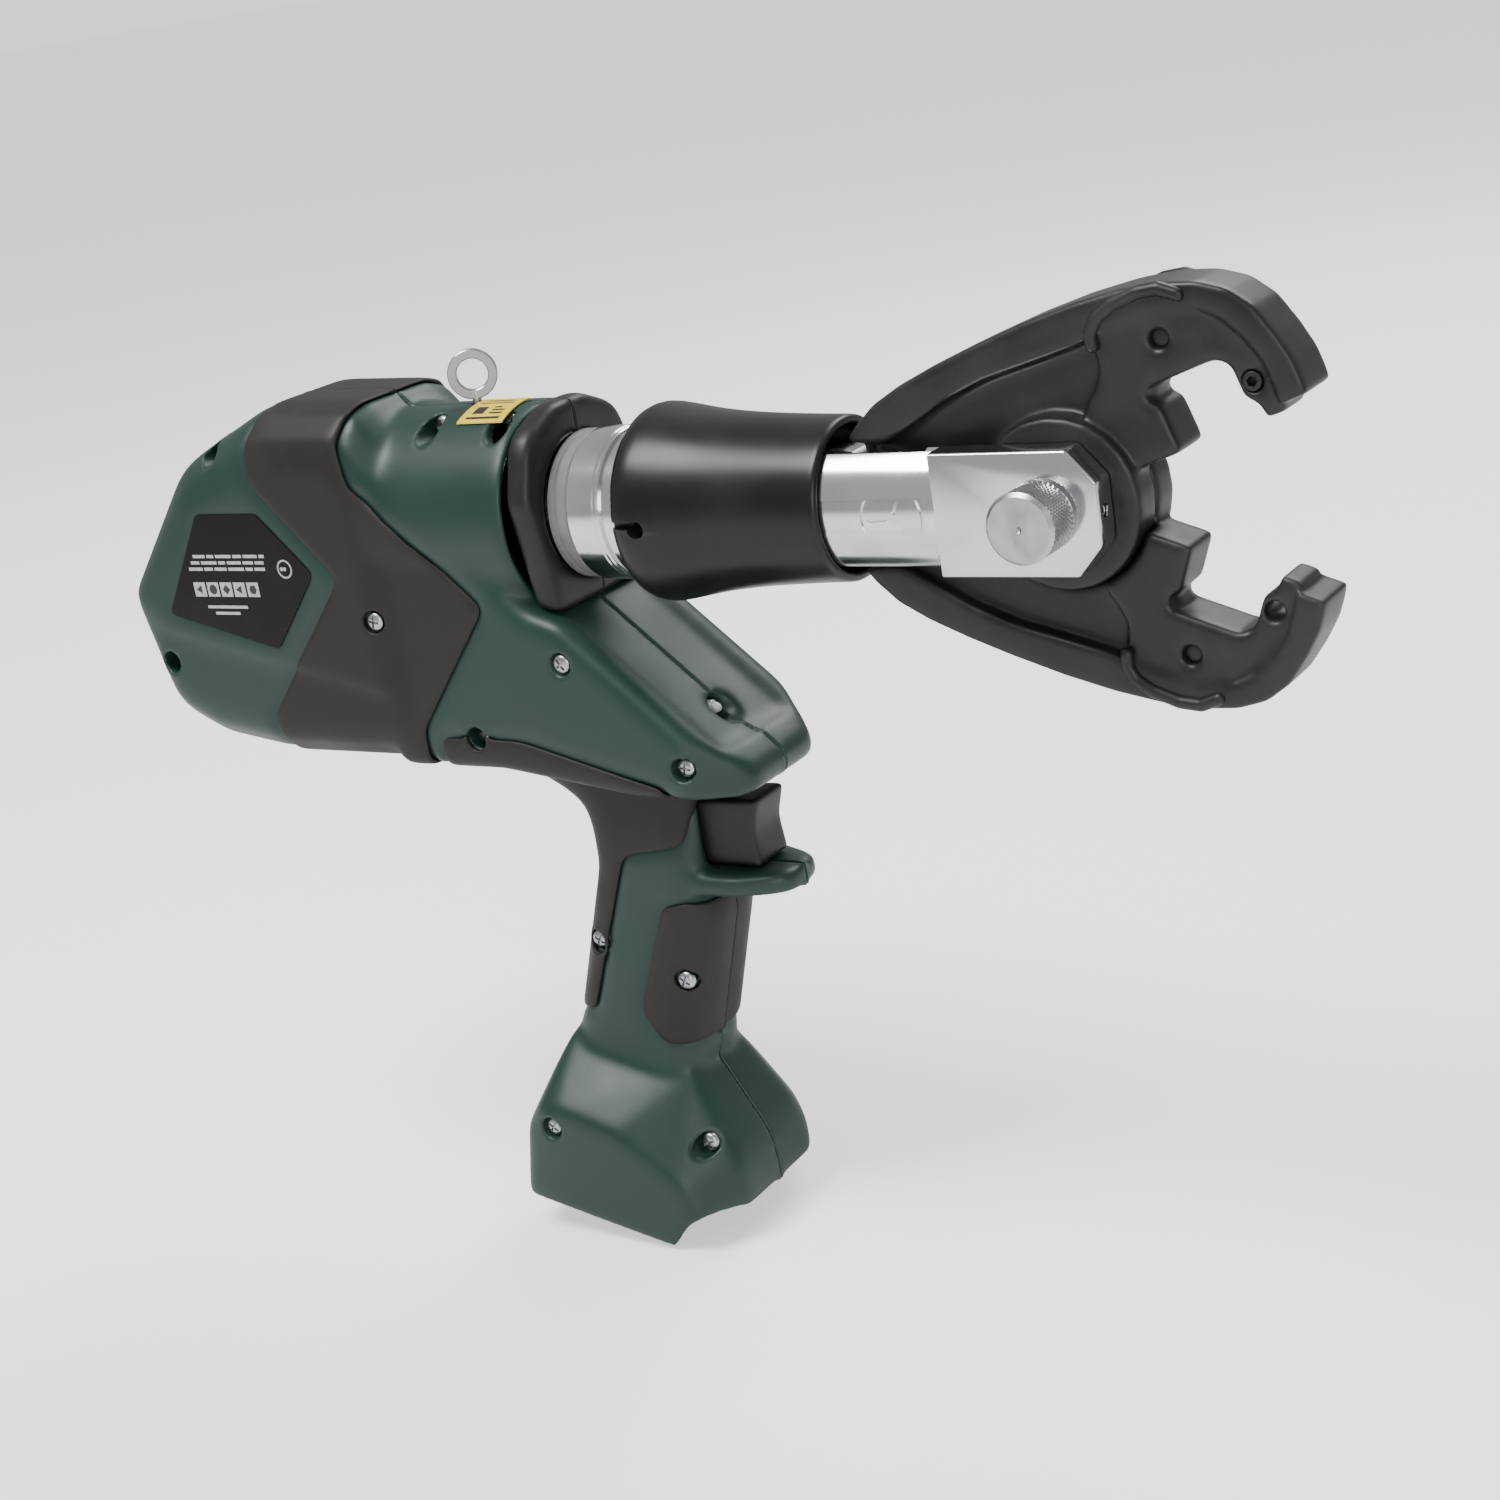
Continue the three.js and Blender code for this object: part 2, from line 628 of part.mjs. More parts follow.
const eccentric = () => join(
  rod(gearboxFront - GEARBOX_LENGTH / 2 + 2, PLUNGER_X, SHAFT_RADIUS, 16),
  rod(PLUNGER_X - 3.5, PLUNGER_X + 3.5, ECCENTRIC_RADIUS, 16).translate([0, 0, -ECCENTRIC_OFFSET]),
).translate([0, 0, MOTOR_Z]);

const blockBottom = MOTOR_Z + 12;
function pumpBlock() {
  const rear = PLUNGER_X - 6;
  const front = CYLINDER_REAR - GAP;
  const block = box(rear, front, -PUMP_HALF_WIDTH, PUMP_HALF_WIDTH, blockBottom, PUMP_TOP);
  const bore = rod(blockBottom - 1, 8, boreFor(PLUNGER_RADIUS, 12), 12).rotate([0, -90, 0]);
  const room = rod(rear - 1, front + 1, BARREL_RADIUS - WALL - GAP, BARREL_SIDES);
  return block.intersect(room).subtract(bore.translate([PLUNGER_X, 0, 0]));
}

const plunger = () => {
  const low = MOTOR_Z + ECCENTRIC_RADIUS + ECCENTRIC_OFFSET + GAP;
  return rod(low, 4, PLUNGER_RADIUS, 12).rotate([0, -90, 0]).translate([PLUNGER_X, 0, 0]);
};

const reservoir = () => plate(
  [[-224, -28, 3], [-188, -28, 3], [-176, -50, 6], [-190, -62, 6], [-224, -62, 3]], -22, 22, 2);

// --- head ---

const armMiddle = -(FORK_SLOT + FORK_HALF_WIDTH) / 2;

function fork() {
  const body = turned([
    [SPIGOT_REAR, boreFor(ROD_RADIUS)],
    [SPIGOT_REAR, shaftFor(BORE_RADIUS)],
    [RETAINER_X - RETAINER_WIRE, shaftFor(BORE_RADIUS)],
    [RETAINER_X - RETAINER_WIRE, BORE_RADIUS - 1.5],
    [RETAINER_X + RETAINER_WIRE, BORE_RADIUS - 1.5],
    [RETAINER_X + RETAINER_WIRE, shaftFor(BORE_RADIUS)],
    [CYLINDER_FRONT + GAP, shaftFor(BORE_RADIUS)],
    [CYLINDER_FRONT + GAP, FORK_HALF_WIDTH],
    [FORK_STEP, FORK_HALF_WIDTH],
    [FORK_STEP, boreFor(ROD_RADIUS)],
    [SPIGOT_REAR, boreFor(ROD_RADIUS)],
  ]).subtract(box(SLEEVE_FRONT - 6, 0, -30, 30, FORK_HALF_HEIGHT - 1.2, 40))
    .subtract(box(SLEEVE_FRONT - 6, 0, -30, 30, -40, 1.2 - FORK_HALF_HEIGHT));
  const h = FORK_HALF_HEIGHT;
  const armOutline = [
    [FORK_STEP - 3, h, 3], [9, h, 1], [FORK_FRONT, h - 9, 1],
    [FORK_FRONT, 9 - h, 1], [9, -h, 1], [FORK_STEP - 3, -h, 3],
  ];
  const arms = plate(armOutline, -FORK_HALF_WIDTH, FORK_HALF_WIDTH, 1);
  return cut(
    body.add(arms),
    box(FORK_SLOT_REAR, FORK_FRONT + 1, -FORK_SLOT, FORK_SLOT, -40, 40),
    pinAlongY(0, 0, -40, 40, boreFor(PIN_RADIUS, 24), 24),
    rod(FORK_FRONT - 5, FORK_FRONT + 1, LOCK_SCREW_RADIUS + GAP, 10).translate([0, armMiddle, 0]),
  );
}

const pinLockScrew = () =>
  rod(FORK_FRONT - 4.5, FORK_FRONT - 0.8, LOCK_SCREW_RADIUS, 10).translate([0, armMiddle, 0]);

const sleeve = () => turned([
  [SLEEVE_REAR, COLLAR_RADIUS - 0.5],
  [SLEEVE_REAR, 29],
  [SLEEVE_REAR + 2, 30.3],
  [SLEEVE_REAR + 6, 30.8],
  [SLEEVE_REAR + 14, 29.6],
  [SLEEVE_REAR + 28, 27.3],
  [SLEEVE_REAR + 48, 25.7],
  [SLEEVE_FRONT, SLEEVE_BORE + SLEEVE_WALL],
  [SLEEVE_FRONT, SLEEVE_BORE],
  [SLEEVE_REAR + 2, SLEEVE_BORE],
  [SLEEVE_REAR, COLLAR_RADIUS - 0.5],
]).subtract(pinAlongY(SLEEVE_REAR + 9.5, 0, -40, -20, 2, 10));

function jawPin() {
  const head = pinAlongY(0, 0, -FORK_HALF_WIDTH - GAP - KNOB_LENGTH, -FORK_HALF_WIDTH - GAP, KNOB_RADIUS, 30);
  return head.add(pinAlongY(0, 0, -FORK_HALF_WIDTH - 2, FORK_HALF_WIDTH, PIN_RADIUS, 24));
}

// One jaw, drawn closed: the mating faces lie on the ram axis. The other jaw is the same piece turned over.
function jaw() {
  const rim = new THREE.Shape();
  rim.moveTo(-55, 38.5);
  rim.lineTo(-56, 40.5);
  rim.splineThru([[-41, 47], [-12, 49.7], [25, 49.4], [55, 44.4], [72.4, 33.6], [79, 14], [79, 2.6]]
    .map(([x, z]) => new THREE.Vector2(x, z)));
  rim.lineTo(70.8, 2.6);
  rim.splineThru([[70.8, 17], [62, 33], [45, 38.5], [20, 38], [-13, 39.7], [-42, 35], [-50, 36.5]]
    .map(([x, z]) => new THREE.Vector2(x, z)));
  rim.closePath();
  const band = new THREE.ExtrudeGeometry(rim, {
    depth: 2 * RIM_HALF_WIDTH, bevelEnabled: false, curveSegments: 2,
  });
  const outer = solid(band.rotateX(Math.PI / 2).translate(0, RIM_HALF_WIDTH, 0));
  const web = plate(
    [[-54, 38, 0], [-57, 30, 0], [-50, 18, 0], [-24, 9, 0], [0, 0.5, 0], [24, 0.5, 0], [39, 19, 0],
      [39, 40, 0], [0, 42, 0], [-44, 40, 0]],
    -WEB_HALF_WIDTH, WEB_HALF_WIDTH);
  const tail = plate([[-57, 32, 0], [-50, 18, 0], [-30, 11.5, 0], [-34, 22, 0], [-50, 36, 0]],
    -ROLLER_HALF_LENGTH, ROLLER_HALF_LENGTH);
  const strap = plate(
    [[20, 0.5, 0], [39.3, 0.5, 0], [39, 14, 1], [35.5, 17, 4], [37.5, 20, 1], [37.5, 40, 0], [28, 40, 4],
      [26, 28, 8], [16, 20, 4]],
    -BLOCK_HALF_WIDTH, BLOCK_HALF_WIDTH);
  const nest = plate([[36, 20, 0], [60, 20, 0], [60, 34, 6], [54, 41, 4], [36, 41, 0]],
    -BLOCK_HALF_WIDTH, BLOCK_HALF_WIDTH);
  const tip = plate(
    [[58, 20, 0], [61.3, 17, 2], [61.3, 8, 1], [64.5, 4.5, 1], [65, JAW_FACE, 0], [71.5, JAW_FACE, 0],
      [71.5, 24, 0], [60, 36, 0]],
    -TIP_HALF_WIDTH, TIP_HALF_WIDTH);
  const ownHub = pinAlongY(0, 0, -HUB_HALF_WIDTH, -SPLIT, HUB_RADIUS, 24);
  const otherHub = pinAlongY(0, 0, -SPLIT, 30, (HUB_RADIUS + GAP) / Math.cos(Math.PI / 24), 24);
  const holes = [
    pinAlongY(0, 0, -30, 30, boreFor(PIN_RADIUS, 24), 24),
    pinAlongY(DIE_PIN.x, DIE_PIN.z, -30, 30, DIE_PIN.radius + GAP, 12),
    pinAlongY(TIP_PLUG.x, TIP_PLUG.z, -30, 30, TIP_PLUG.radius + GAP, 12),
  ];
  const rollerPath = [];
  const steps = 7;
  for (let i = 0; i <= steps; i++) {
    const open = JAW_OPENING * (1 - i / steps);
    const at = ROLLER_REST + STROKE * (i / steps);
    const tool = pinAlongY(at, ROLLER_SPREAD, -FORK_SLOT, FORK_SLOT, ROLLER_RADIUS + 2 * GAP, 16);
    rollerPath.push(tool.rotate([0, THREE.MathUtils.radToDeg(open), 0]));
  }
  const arm = cut(join(outer, web, tail, strap, nest, tip), otherHub, ...rollerPath);
  return cut(arm.add(ownHub), ...holes);
}

const openUpper = (body) => body.rotate([0, -THREE.MathUtils.radToDeg(JAW_OPENING), 0]);
const turnedOver = (body) => body.rotate([180, 0, 0]);

function diePin() {
  const half = BLOCK_HALF_WIDTH - 1;
  return pinAlongY(DIE_PIN.x, DIE_PIN.z, -half, half, DIE_PIN.radius, 12);
}

function tipPlug() {
  const half = TIP_HALF_WIDTH - 0.4;
  return pinAlongY(TIP_PLUG.x, TIP_PLUG.z, -half, half, TIP_PLUG.radius, 12);
}

// --- controls ---

const trigger = () => join(
  plate([[-145.5, -96, 1], [-118, -95, 1], [-121.5, -106, 12], [-120, -118, 1], [-145.5, -118, 1]],
    -TRIGGER_HALF_WIDTH, TRIGGER_HALF_WIDTH),
  box(STEM_END, -144, -4, 4, -112, -102),
);

const pressedEnd = STEM_END - TRIGGER_TRAVEL; // where the stem's end comes to with the trigger pulled
const triggerSwitch = () => box(-176, pressedEnd - 2.5, -8, 8, -114, -98);
const triggerSpring = () =>
  squeezedSpring(pressedEnd - 2, pressedEnd - 0.2, 1.5, 1.5, 2).translate([0, 0, -107]);
const boardOutline = [[-188, -152, 0], [-173, -152, 0], [-181, -180, 0], [-196, -180, 0]];
const controlBoard = () => plate(boardOutline, -9, -7.2);
const terminals = () => placeFoot(box(-14, 16, -17, 17, 2, 10));

// The eye of wire, its shank through the casing, and the wider end that keeps it in.
const hangingRing = () => {
  const eye = new THREE.TorusGeometry(RING_RADIUS, RING_WIRE, 6, 20).rotateX(Math.PI / 2);
  const height = BARREL_RADIUS + 1 + RING_WIRE + RING_RADIUS;
  const shank = rod(BARREL_RADIUS - 6, height - RING_RADIUS, RING_WIRE, 8).rotate([0, -90, 0]);
  const foot = rod(BARREL_RADIUS - 7.5, BARREL_RADIUS - WALL - GAP, 2.2, 8).rotate([0, -90, 0]);
  const whole = join(solid(eye).translate([0, 0, height]), shank, foot);
  return whole.rotate([0, 0, THREE.MathUtils.radToDeg(RING_TURN)]).translate([RING_X, 0, 0]);
};

const ratingLabel = () =>
  plate(drawnIn(LABEL, GAP), 0.1 - BODY_HALF_WIDTH, LABEL_DEPTH - GAP - BODY_HALF_WIDTH);

function warningLabel() {
  const { rear, front, right, left } = STICKER;
  const around = ring(rear, front, BARREL_RADIUS + 0.25, BARREL_RADIUS + 0.6, 32);
  return around.intersect(box(rear - 1, front + 1, right, left, 20, 50));
}

function screw([x, z, seat]) {
  const head = SCREW_HEAD_RADIUS;
  const top = seat - SCREW_HEAD_HEIGHT;
  const profile = [
    [top, 0], [top, head - 0.8], [top + 0.8, head], [seat - 0.05, head],
    [seat - 0.05, SCREW_RADIUS], [SCREW_END, SCREW_RADIUS], [SCREW_END, 0],
  ];
  return turned(profile, 8).rotate([0, 0, 90]).translate([x, 0, z]);
}

// --- the finished group ---

const FINISH = {
  casing: { color: 0x1c3b35, roughness: 0.5, metalness: 0 },
  soft: { color: 0x252220, roughness: 0.75, metalness: 0 },
  black: { color: 0x161616, roughness: 0.5, metalness: 0 },
  label: { color: 0x120e0e, roughness: 0.25, metalness: 0 },
  yellow: { color: 0xd9b400, roughness: 0.4, metalness: 0 },
  chrome: { color: 0xc9c9cb, roughness: 0.2, metalness: 1 },
  zinc: { color: 0xb5b7b8, roughness: 0.35, metalness: 1 },
  steel: { color: 0x8b8d90, roughness: 0.4, metalness: 1 },
  forged: { color: 0x1d1c1a, roughness: 0.5, metalness: 0.8 },
  rubber: { color: 0x55585c, roughness: 0.8, metalness: 0 },
  board: { color: 0x1f5130, roughness: 0.5, metalness: 0 },
};

const tool = new THREE.Group();

function put(name, body, finish) {
  const mesh = new THREE.Mesh(geometryOf(body), new THREE.MeshStandardMaterial(FINISH[finish]));
  mesh.name = name;
  tool.add(mesh);
}

function putHalves(name, whole, finish) {
  put(name + "_right", largest(rightHalf(whole)), finish);
  put(name + "_left", largest(leftHalf(whole)), finish);
}

putHalves("housing", makeCasing(), "casing");
for (const [name, outline] of Object.entries(skins)) {
  let layer = skin(outline);
  for (const [x, z] of SCREWS) layer = layer.subtract(pinAlongY(x, z, -60, 0, WELL_RADIUS, 10));
  layer = layer.subtract(triggerOpening());
  putHalves(name, layer, "soft");
}
putHalves("nose_cover", noseCover(), "black");
put("rating_label", ratingLabel(), "label");
put("warning_label", warningLabel(), "yellow");
put("hanging_ring", hangingRing(), "steel");
SCREWS.forEach((spot, i) => put("casing_screw_" + String(i + 1).padStart(2, "0"), screw(spot), "zinc"));

put("motor", motor(), "steel");
put("motor_shaft", motorShaft(), "steel");
put("gearbox", gearbox(), "black");
put("eccentric_shaft", eccentric(), "steel");
put("pump_block", pumpBlock(), "steel");
put("pump_plunger", plunger(), "steel");
put("oil_reservoir", reservoir(), "rubber");
put("cylinder", cylinder(), "chrome");
put("cylinder_seal", cylinderSeal(), "rubber");
put("ram", ram(), "steel");
put("piston_seal", pistonSeal(), "rubber");
put("return_spring", squeezedSpring(SPIGOT_REAR - 16, SPIGOT_REAR - GAP, ROD_RADIUS + 1, 3, 4), "steel");
for (const [name, side] of [["upper", 1], ["lower", -1]]) {
  put(name + "_roller", roller(side), "steel");
  put(name + "_roller_axle", axle(side), "steel");
}
put("fork", fork(), "chrome");
put("swivel_retainer", retainer(), "steel");
put("sleeve", sleeve(), "black");
put("jaw_pin", jawPin(), "zinc");
put("pin_lock_screw", pinLockScrew(), "forged");
put("upper_jaw", openUpper(jaw()), "forged");
put("lower_jaw", turnedOver(openUpper(jaw())), "forged");
put("upper_die_pin", openUpper(diePin()), "forged");
put("lower_die_pin", turnedOver(openUpper(diePin())), "forged");
put("tip_plug", openUpper(tipPlug()), "forged");

put("work_light", workLight(), "chrome");
put("trigger", trigger(), "black");
put("trigger_switch", triggerSwitch(), "black");
put("trigger_spring", triggerSpring(), "steel");
put("control_board", controlBoard(), "board");
put("battery_terminals", terminals(), "black");

// The origin moves to the middle of the lowest face of the whole tool.
const bounds = new THREE.Box3().setFromObject(tool);
const middle = bounds.getCenter(new THREE.Vector3());
tool.position.set(-middle.x, -middle.y, -bounds.min.z);

const part = new THREE.Group();
part.add(tool);
export default part;
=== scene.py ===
# Cordless hydraulic crimping tool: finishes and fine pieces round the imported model, and a small studio.
import json
import math
import bmesh
import bpy
from mathutils import Matrix, Vector


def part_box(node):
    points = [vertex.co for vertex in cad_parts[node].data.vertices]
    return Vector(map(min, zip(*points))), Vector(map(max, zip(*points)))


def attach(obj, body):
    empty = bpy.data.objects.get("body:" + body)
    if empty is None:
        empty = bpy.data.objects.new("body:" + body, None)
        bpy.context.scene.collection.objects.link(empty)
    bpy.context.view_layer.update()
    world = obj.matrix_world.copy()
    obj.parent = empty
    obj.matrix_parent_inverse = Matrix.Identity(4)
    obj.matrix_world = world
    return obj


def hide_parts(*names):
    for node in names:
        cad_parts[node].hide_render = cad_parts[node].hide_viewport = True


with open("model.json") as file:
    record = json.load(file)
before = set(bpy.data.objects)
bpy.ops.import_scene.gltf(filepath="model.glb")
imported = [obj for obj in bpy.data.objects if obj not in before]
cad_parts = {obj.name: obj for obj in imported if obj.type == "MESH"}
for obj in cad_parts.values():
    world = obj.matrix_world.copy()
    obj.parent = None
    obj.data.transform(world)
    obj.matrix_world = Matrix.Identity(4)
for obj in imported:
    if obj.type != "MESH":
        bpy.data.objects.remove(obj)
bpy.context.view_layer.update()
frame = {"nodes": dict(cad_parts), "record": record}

nodes = frame["nodes"]
bodyOf = {n: b for b, members in frame["record"]["behaviour"]["bodies"].items() for n in members}
slotOf = {s["node"]: s["material_slot"] for s in frame["record"]["subparts"]}

# Pieces are drawn in millimetres round the jaw pin, on the axis of the barrel, then placed in the frame.
pinLow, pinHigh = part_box("jaw_pin")
pinCentre = Vector(((pinLow.x + pinHigh.x) / 2, 0, (pinLow.z + pinHigh.z) / 2))
place = Matrix.Translation(pinCentre) @ Matrix.Scale(0.001, 4)
unplace = place.inverted()

# Studio
cameraView = {"at": (317.8, -645.1, 170.4), "azimuth": 34.36, "elevation": 17.86, "roll": -9.26,
              "lens": 62.4, "sensor": 36, "clip": 0.05}
studio = {"floorSize": 60.0, "floorColour": (0.9, 0.9, 0.9), "floorRoughness": 0.95, "floorGlow": 0.85,
          "skyColour": (1.0, 1.0, 1.0), "skyStrength": 0.5, "skySeen": 1.3, "lightsAimAt": (-100, 0, -60)}
softBoxes = {
    "key": {"at": (-0.5, -0.75, 1.7), "size": 0.8, "watts": 46},
    "front": {"at": (1.2, -1.5, 0.5), "size": 0.8, "watts": 12},
    "back": {"at": (0.1, 1.5, 1.6), "size": 1.2, "watts": 32},
}


def makeStudio():
    camera = bpy.data.cameras.new("camera")
    camera.lens = cameraView["lens"]
    camera.sensor_width = cameraView["sensor"]
    camera.clip_start = cameraView["clip"]
    shot = bpy.data.objects.new("camera", camera)
    bpy.context.scene.collection.objects.link(shot)
    turn = Matrix.Rotation(math.radians(cameraView["azimuth"]), 4, "Z")
    turn = turn @ Matrix.Rotation(math.radians(90 - cameraView["elevation"]), 4, "X")
    turn = turn @ Matrix.Rotation(math.radians(cameraView["roll"]), 4, "Z")
    spot = place @ Vector(cameraView["at"])
    shot.matrix_world = Matrix.Translation(spot) @ turn
    bpy.context.scene.camera = shot
    target = place @ Vector(studio["lightsAimAt"])
    for name, box in softBoxes.items():
        light = bpy.data.lights.new(name, "AREA")
        light.shape = "SQUARE"
        light.size = box["size"]
        light.energy = box["watts"]
        lamp = bpy.data.objects.new(name, light)
        bpy.context.scene.collection.objects.link(lamp)
        lamp.location = target + Vector(box["at"])
        lamp.rotation_euler = (target - lamp.location).to_track_quat("-Z", "Y").to_euler()
    world = bpy.data.worlds.new("studio")
    bpy.context.scene.world = world
    world.use_nodes = True
    sky = world.node_tree.nodes["Background"]
    sky.inputs["Color"].default_value = (*studio["skyColour"], 1)
    path = world.node_tree.nodes.new("ShaderNodeLightPath")
    seen = world.node_tree.nodes.new("ShaderNodeMath")
    seen.operation = "MULTIPLY_ADD"
    seen.inputs[1].default_value = studio["skySeen"] - studio["skyStrength"]
    seen.inputs[2].default_value = studio["skyStrength"]
    world.node_tree.links.new(path.outputs["Is Camera Ray"], seen.inputs[0])
    world.node_tree.links.new(seen.outputs[0], sky.inputs["Strength"])
    bm = bmesh.new()
    bmesh.ops.create_grid(bm, x_segments=1, y_segments=1, size=studio["floorSize"] / 2)
    floor = bpy.data.objects.new("floor", bpy.data.meshes.new("floor"))
    bm.to_mesh(floor.data)
    bm.free()
    bpy.context.scene.collection.objects.link(floor)
    pale = bpy.data.materials.new("paleFloor")
    pale.use_nodes = True
    shader = pale.node_tree.nodes["Principled BSDF"]
    shader.inputs["Base Color"].default_value = (*studio["floorColour"], 1)
    shader.inputs["Roughness"].default_value = studio["floorRoughness"]
    shader.inputs["Emission Color"].default_value = (*studio["floorColour"], 1)
    path = pale.node_tree.nodes.new("ShaderNodeLightPath")
    glow = pale.node_tree.nodes.new("ShaderNodeMath")
    glow.operation = "MULTIPLY"
    glow.inputs[1].default_value = studio["floorGlow"]
    pale.node_tree.links.new(path.outputs["Is Camera Ray"], glow.inputs[0])
    pale.node_tree.links.new(glow.outputs[0], shader.inputs["Emission Strength"])
    floor.data.materials.append(pale)
    print("studio ready")


# Finishes: base colour, roughness, and what breaks them up; edge is a lighter tint on convex edges, partly
# wear and partly a painted edge highlight. Scales are per metre, depths in metres.
finishes = {
    "casing": {
        "colour": (0.0068, 0.0275, 0.0215), "rough": 0.44, "gloss": 0.42,
        "grain": (1500, 0.00006, 0.35), "blotch": (28, (0.0092, 0.034, 0.027), 0.5),
        "edge": ((0.022, 0.075, 0.062), 0.5),
    },
    "overmould": {
        "colour": (0.0105, 0.0092, 0.008), "rough": 0.58, "gloss": 0.35,
        "grain": (2200, 0.00005, 0.4), "blotch": (45, (0.019, 0.0165, 0.014), 0.8),
        "edge": ((0.04, 0.036, 0.032), 0.4),
    },
    "black_plastic": {
        "colour": (0.007, 0.0068, 0.0065), "rough": 0.42, "gloss": 0.35,
        "grain": (1800, 0.00004, 0.3), "blotch": (40, (0.016, 0.015, 0.014), 0.6),
        "edge": ((0.03, 0.03, 0.03), 0.3),
    },
    "black_metal": {
        "colour": (0.0055, 0.0055, 0.0053), "rough": 0.34, "gloss": 0.32,
        "grain": (2600, 0.00003, 0.3), "blotch": (30, (0.013, 0.0125, 0.012), 0.7),
        "edge": ((0.05, 0.05, 0.05), 0.3),
    },
    "chrome": {
        "colour": (0.66, 0.66, 0.67), "rough": 0.14, "metal": 1.0,
        "grain": (260, 0.0001, 0.12), "blotch": (60, (0.50, 0.50, 0.52), 0.6),
        "edge": ((0.9, 0.9, 0.9), 0.3),
    },
    "zinc": {
        "colour": (0.40, 0.41, 0.43), "rough": 0.3, "metal": 1.0,
        "grain": (900, 0.00005, 0.25), "blotch": (160, (0.28, 0.29, 0.31), 0.7),
        "edge": ((0.85, 0.85, 0.85), 0.5),
    },
    "steel": {
        "colour": (0.34, 0.33, 0.32), "rough": 0.3, "metal": 1.0,
        "grain": (1400, 0.00004, 0.3), "blotch": (120, (0.22, 0.215, 0.21), 0.6),
        "edge": ((0.7, 0.7, 0.7), 0.4),
    },
    "seal_rubber": {
        "colour": (0.16, 0.16, 0.17), "rough": 0.5,
        "grain": (1800, 0.00004, 0.3), "blotch": (120, (0.11, 0.11, 0.115), 0.6),
        "edge": ((0.25, 0.25, 0.25), 0.3),
    },
    "forged_steel": {
        "colour": (0.0075, 0.0070, 0.0060), "rough": 0.43, "gloss": 0.4,
        "grain": (700, 0.00012, 0.35), "blotch": (55, (0.018, 0.0162, 0.0132), 0.85),
        "edge": ((0.05, 0.044, 0.034), 0.6),
    },
    "circuit_board": {
        "colour": (0.02, 0.12, 0.04), "rough": 0.35,
        "grain": (900, 0.00003, 0.2), "blotch": (300, (0.015, 0.09, 0.03), 0.6),
        "edge": ((0.05, 0.2, 0.08), 0.2),
    },
    "aluminium": {
        "colour": (0.6, 0.6, 0.61), "rough": 0.38, "metal": 1.0,
        "grain": (900, 0.00005, 0.3), "blotch": (100, (0.5, 0.5, 0.51), 0.5),
        "edge": ((0.75, 0.75, 0.75), 0.3),
    },
    "rating_label": {
        "colour": (0.0045, 0.0032, 0.0030), "rough": 0.12, "gloss": 0.14,
        "grain": (90, 0.0001, 0.05), "blotch": (40, (0.012, 0.008, 0.008), 0.6),
        "edge": ((0.02, 0.02, 0.02), 0.1),
    },
    "lamp_lens": {
        "colour": (0.55, 0.56, 0.52), "rough": 0.08, "gloss": 0.7,
        "grain": (300, 0.00003, 0.1), "blotch": (300, (0.42, 0.43, 0.40), 0.6),
        "edge": ((0.8, 0.8, 0.8), 0.3),
    },
    "warning_label": {
        "colour": (0.72, 0.52, 0.02), "rough": 0.25,
        "grain": (200, 0.0001, 0.05), "blotch": (60, (0.78, 0.6, 0.05), 0.5),
        "edge": ((0.8, 0.6, 0.1), 0.1),
    },
    "print": {
        "colour": (0.42, 0.42, 0.43), "rough": 0.3,
        "grain": (1500, 0.00002, 0.1), "blotch": (400, (0.3, 0.3, 0.31), 0.6),
        "edge": ((0.45, 0.45, 0.45), 0.1),
    },
    "ink": {
        "colour": (0.01, 0.01, 0.01), "rough": 0.3,
        "grain": (1500, 0.00002, 0.1), "blotch": (400, (0.02, 0.02, 0.02), 0.6),
        "edge": ((0.02, 0.02, 0.02), 0.1),
    },
}


def link(tree, source, target):
    tree.links.new(source, target)


# first and second are sockets or colours
def mixColour(tree, factor, first, second):
    mix = tree.nodes.new("ShaderNodeMix")
    mix.data_type = "RGBA"
    link(tree, factor, mix.inputs["Factor"])
    for socket, value in ((mix.inputs[6], first), (mix.inputs[7], second)):
        if isinstance(value, tuple):
            socket.default_value = (*value, 1)
        else:
            link(tree, value, socket)
    return mix.outputs[2]


def rangeOf(tree, source, low, high, toLow, toHigh):
    node = tree.nodes.new("ShaderNodeMapRange")
    for name, value in (("From Min", low), ("From Max", high), ("To Min", toLow), ("To Max", toHigh)):
        node.inputs[name].default_value = value
    link(tree, source, node.inputs["Value"])
    return node.outputs["Result"]


def noiseOf(tree, coordinates, scale, detail=3.0):
    node = tree.nodes.new("ShaderNodeTexNoise")
    node.inputs["Scale"].default_value = scale
    node.inputs["Detail"].default_value = detail
    link(tree, coordinates, node.inputs["Vector"])
    return node.outputs["Fac"]


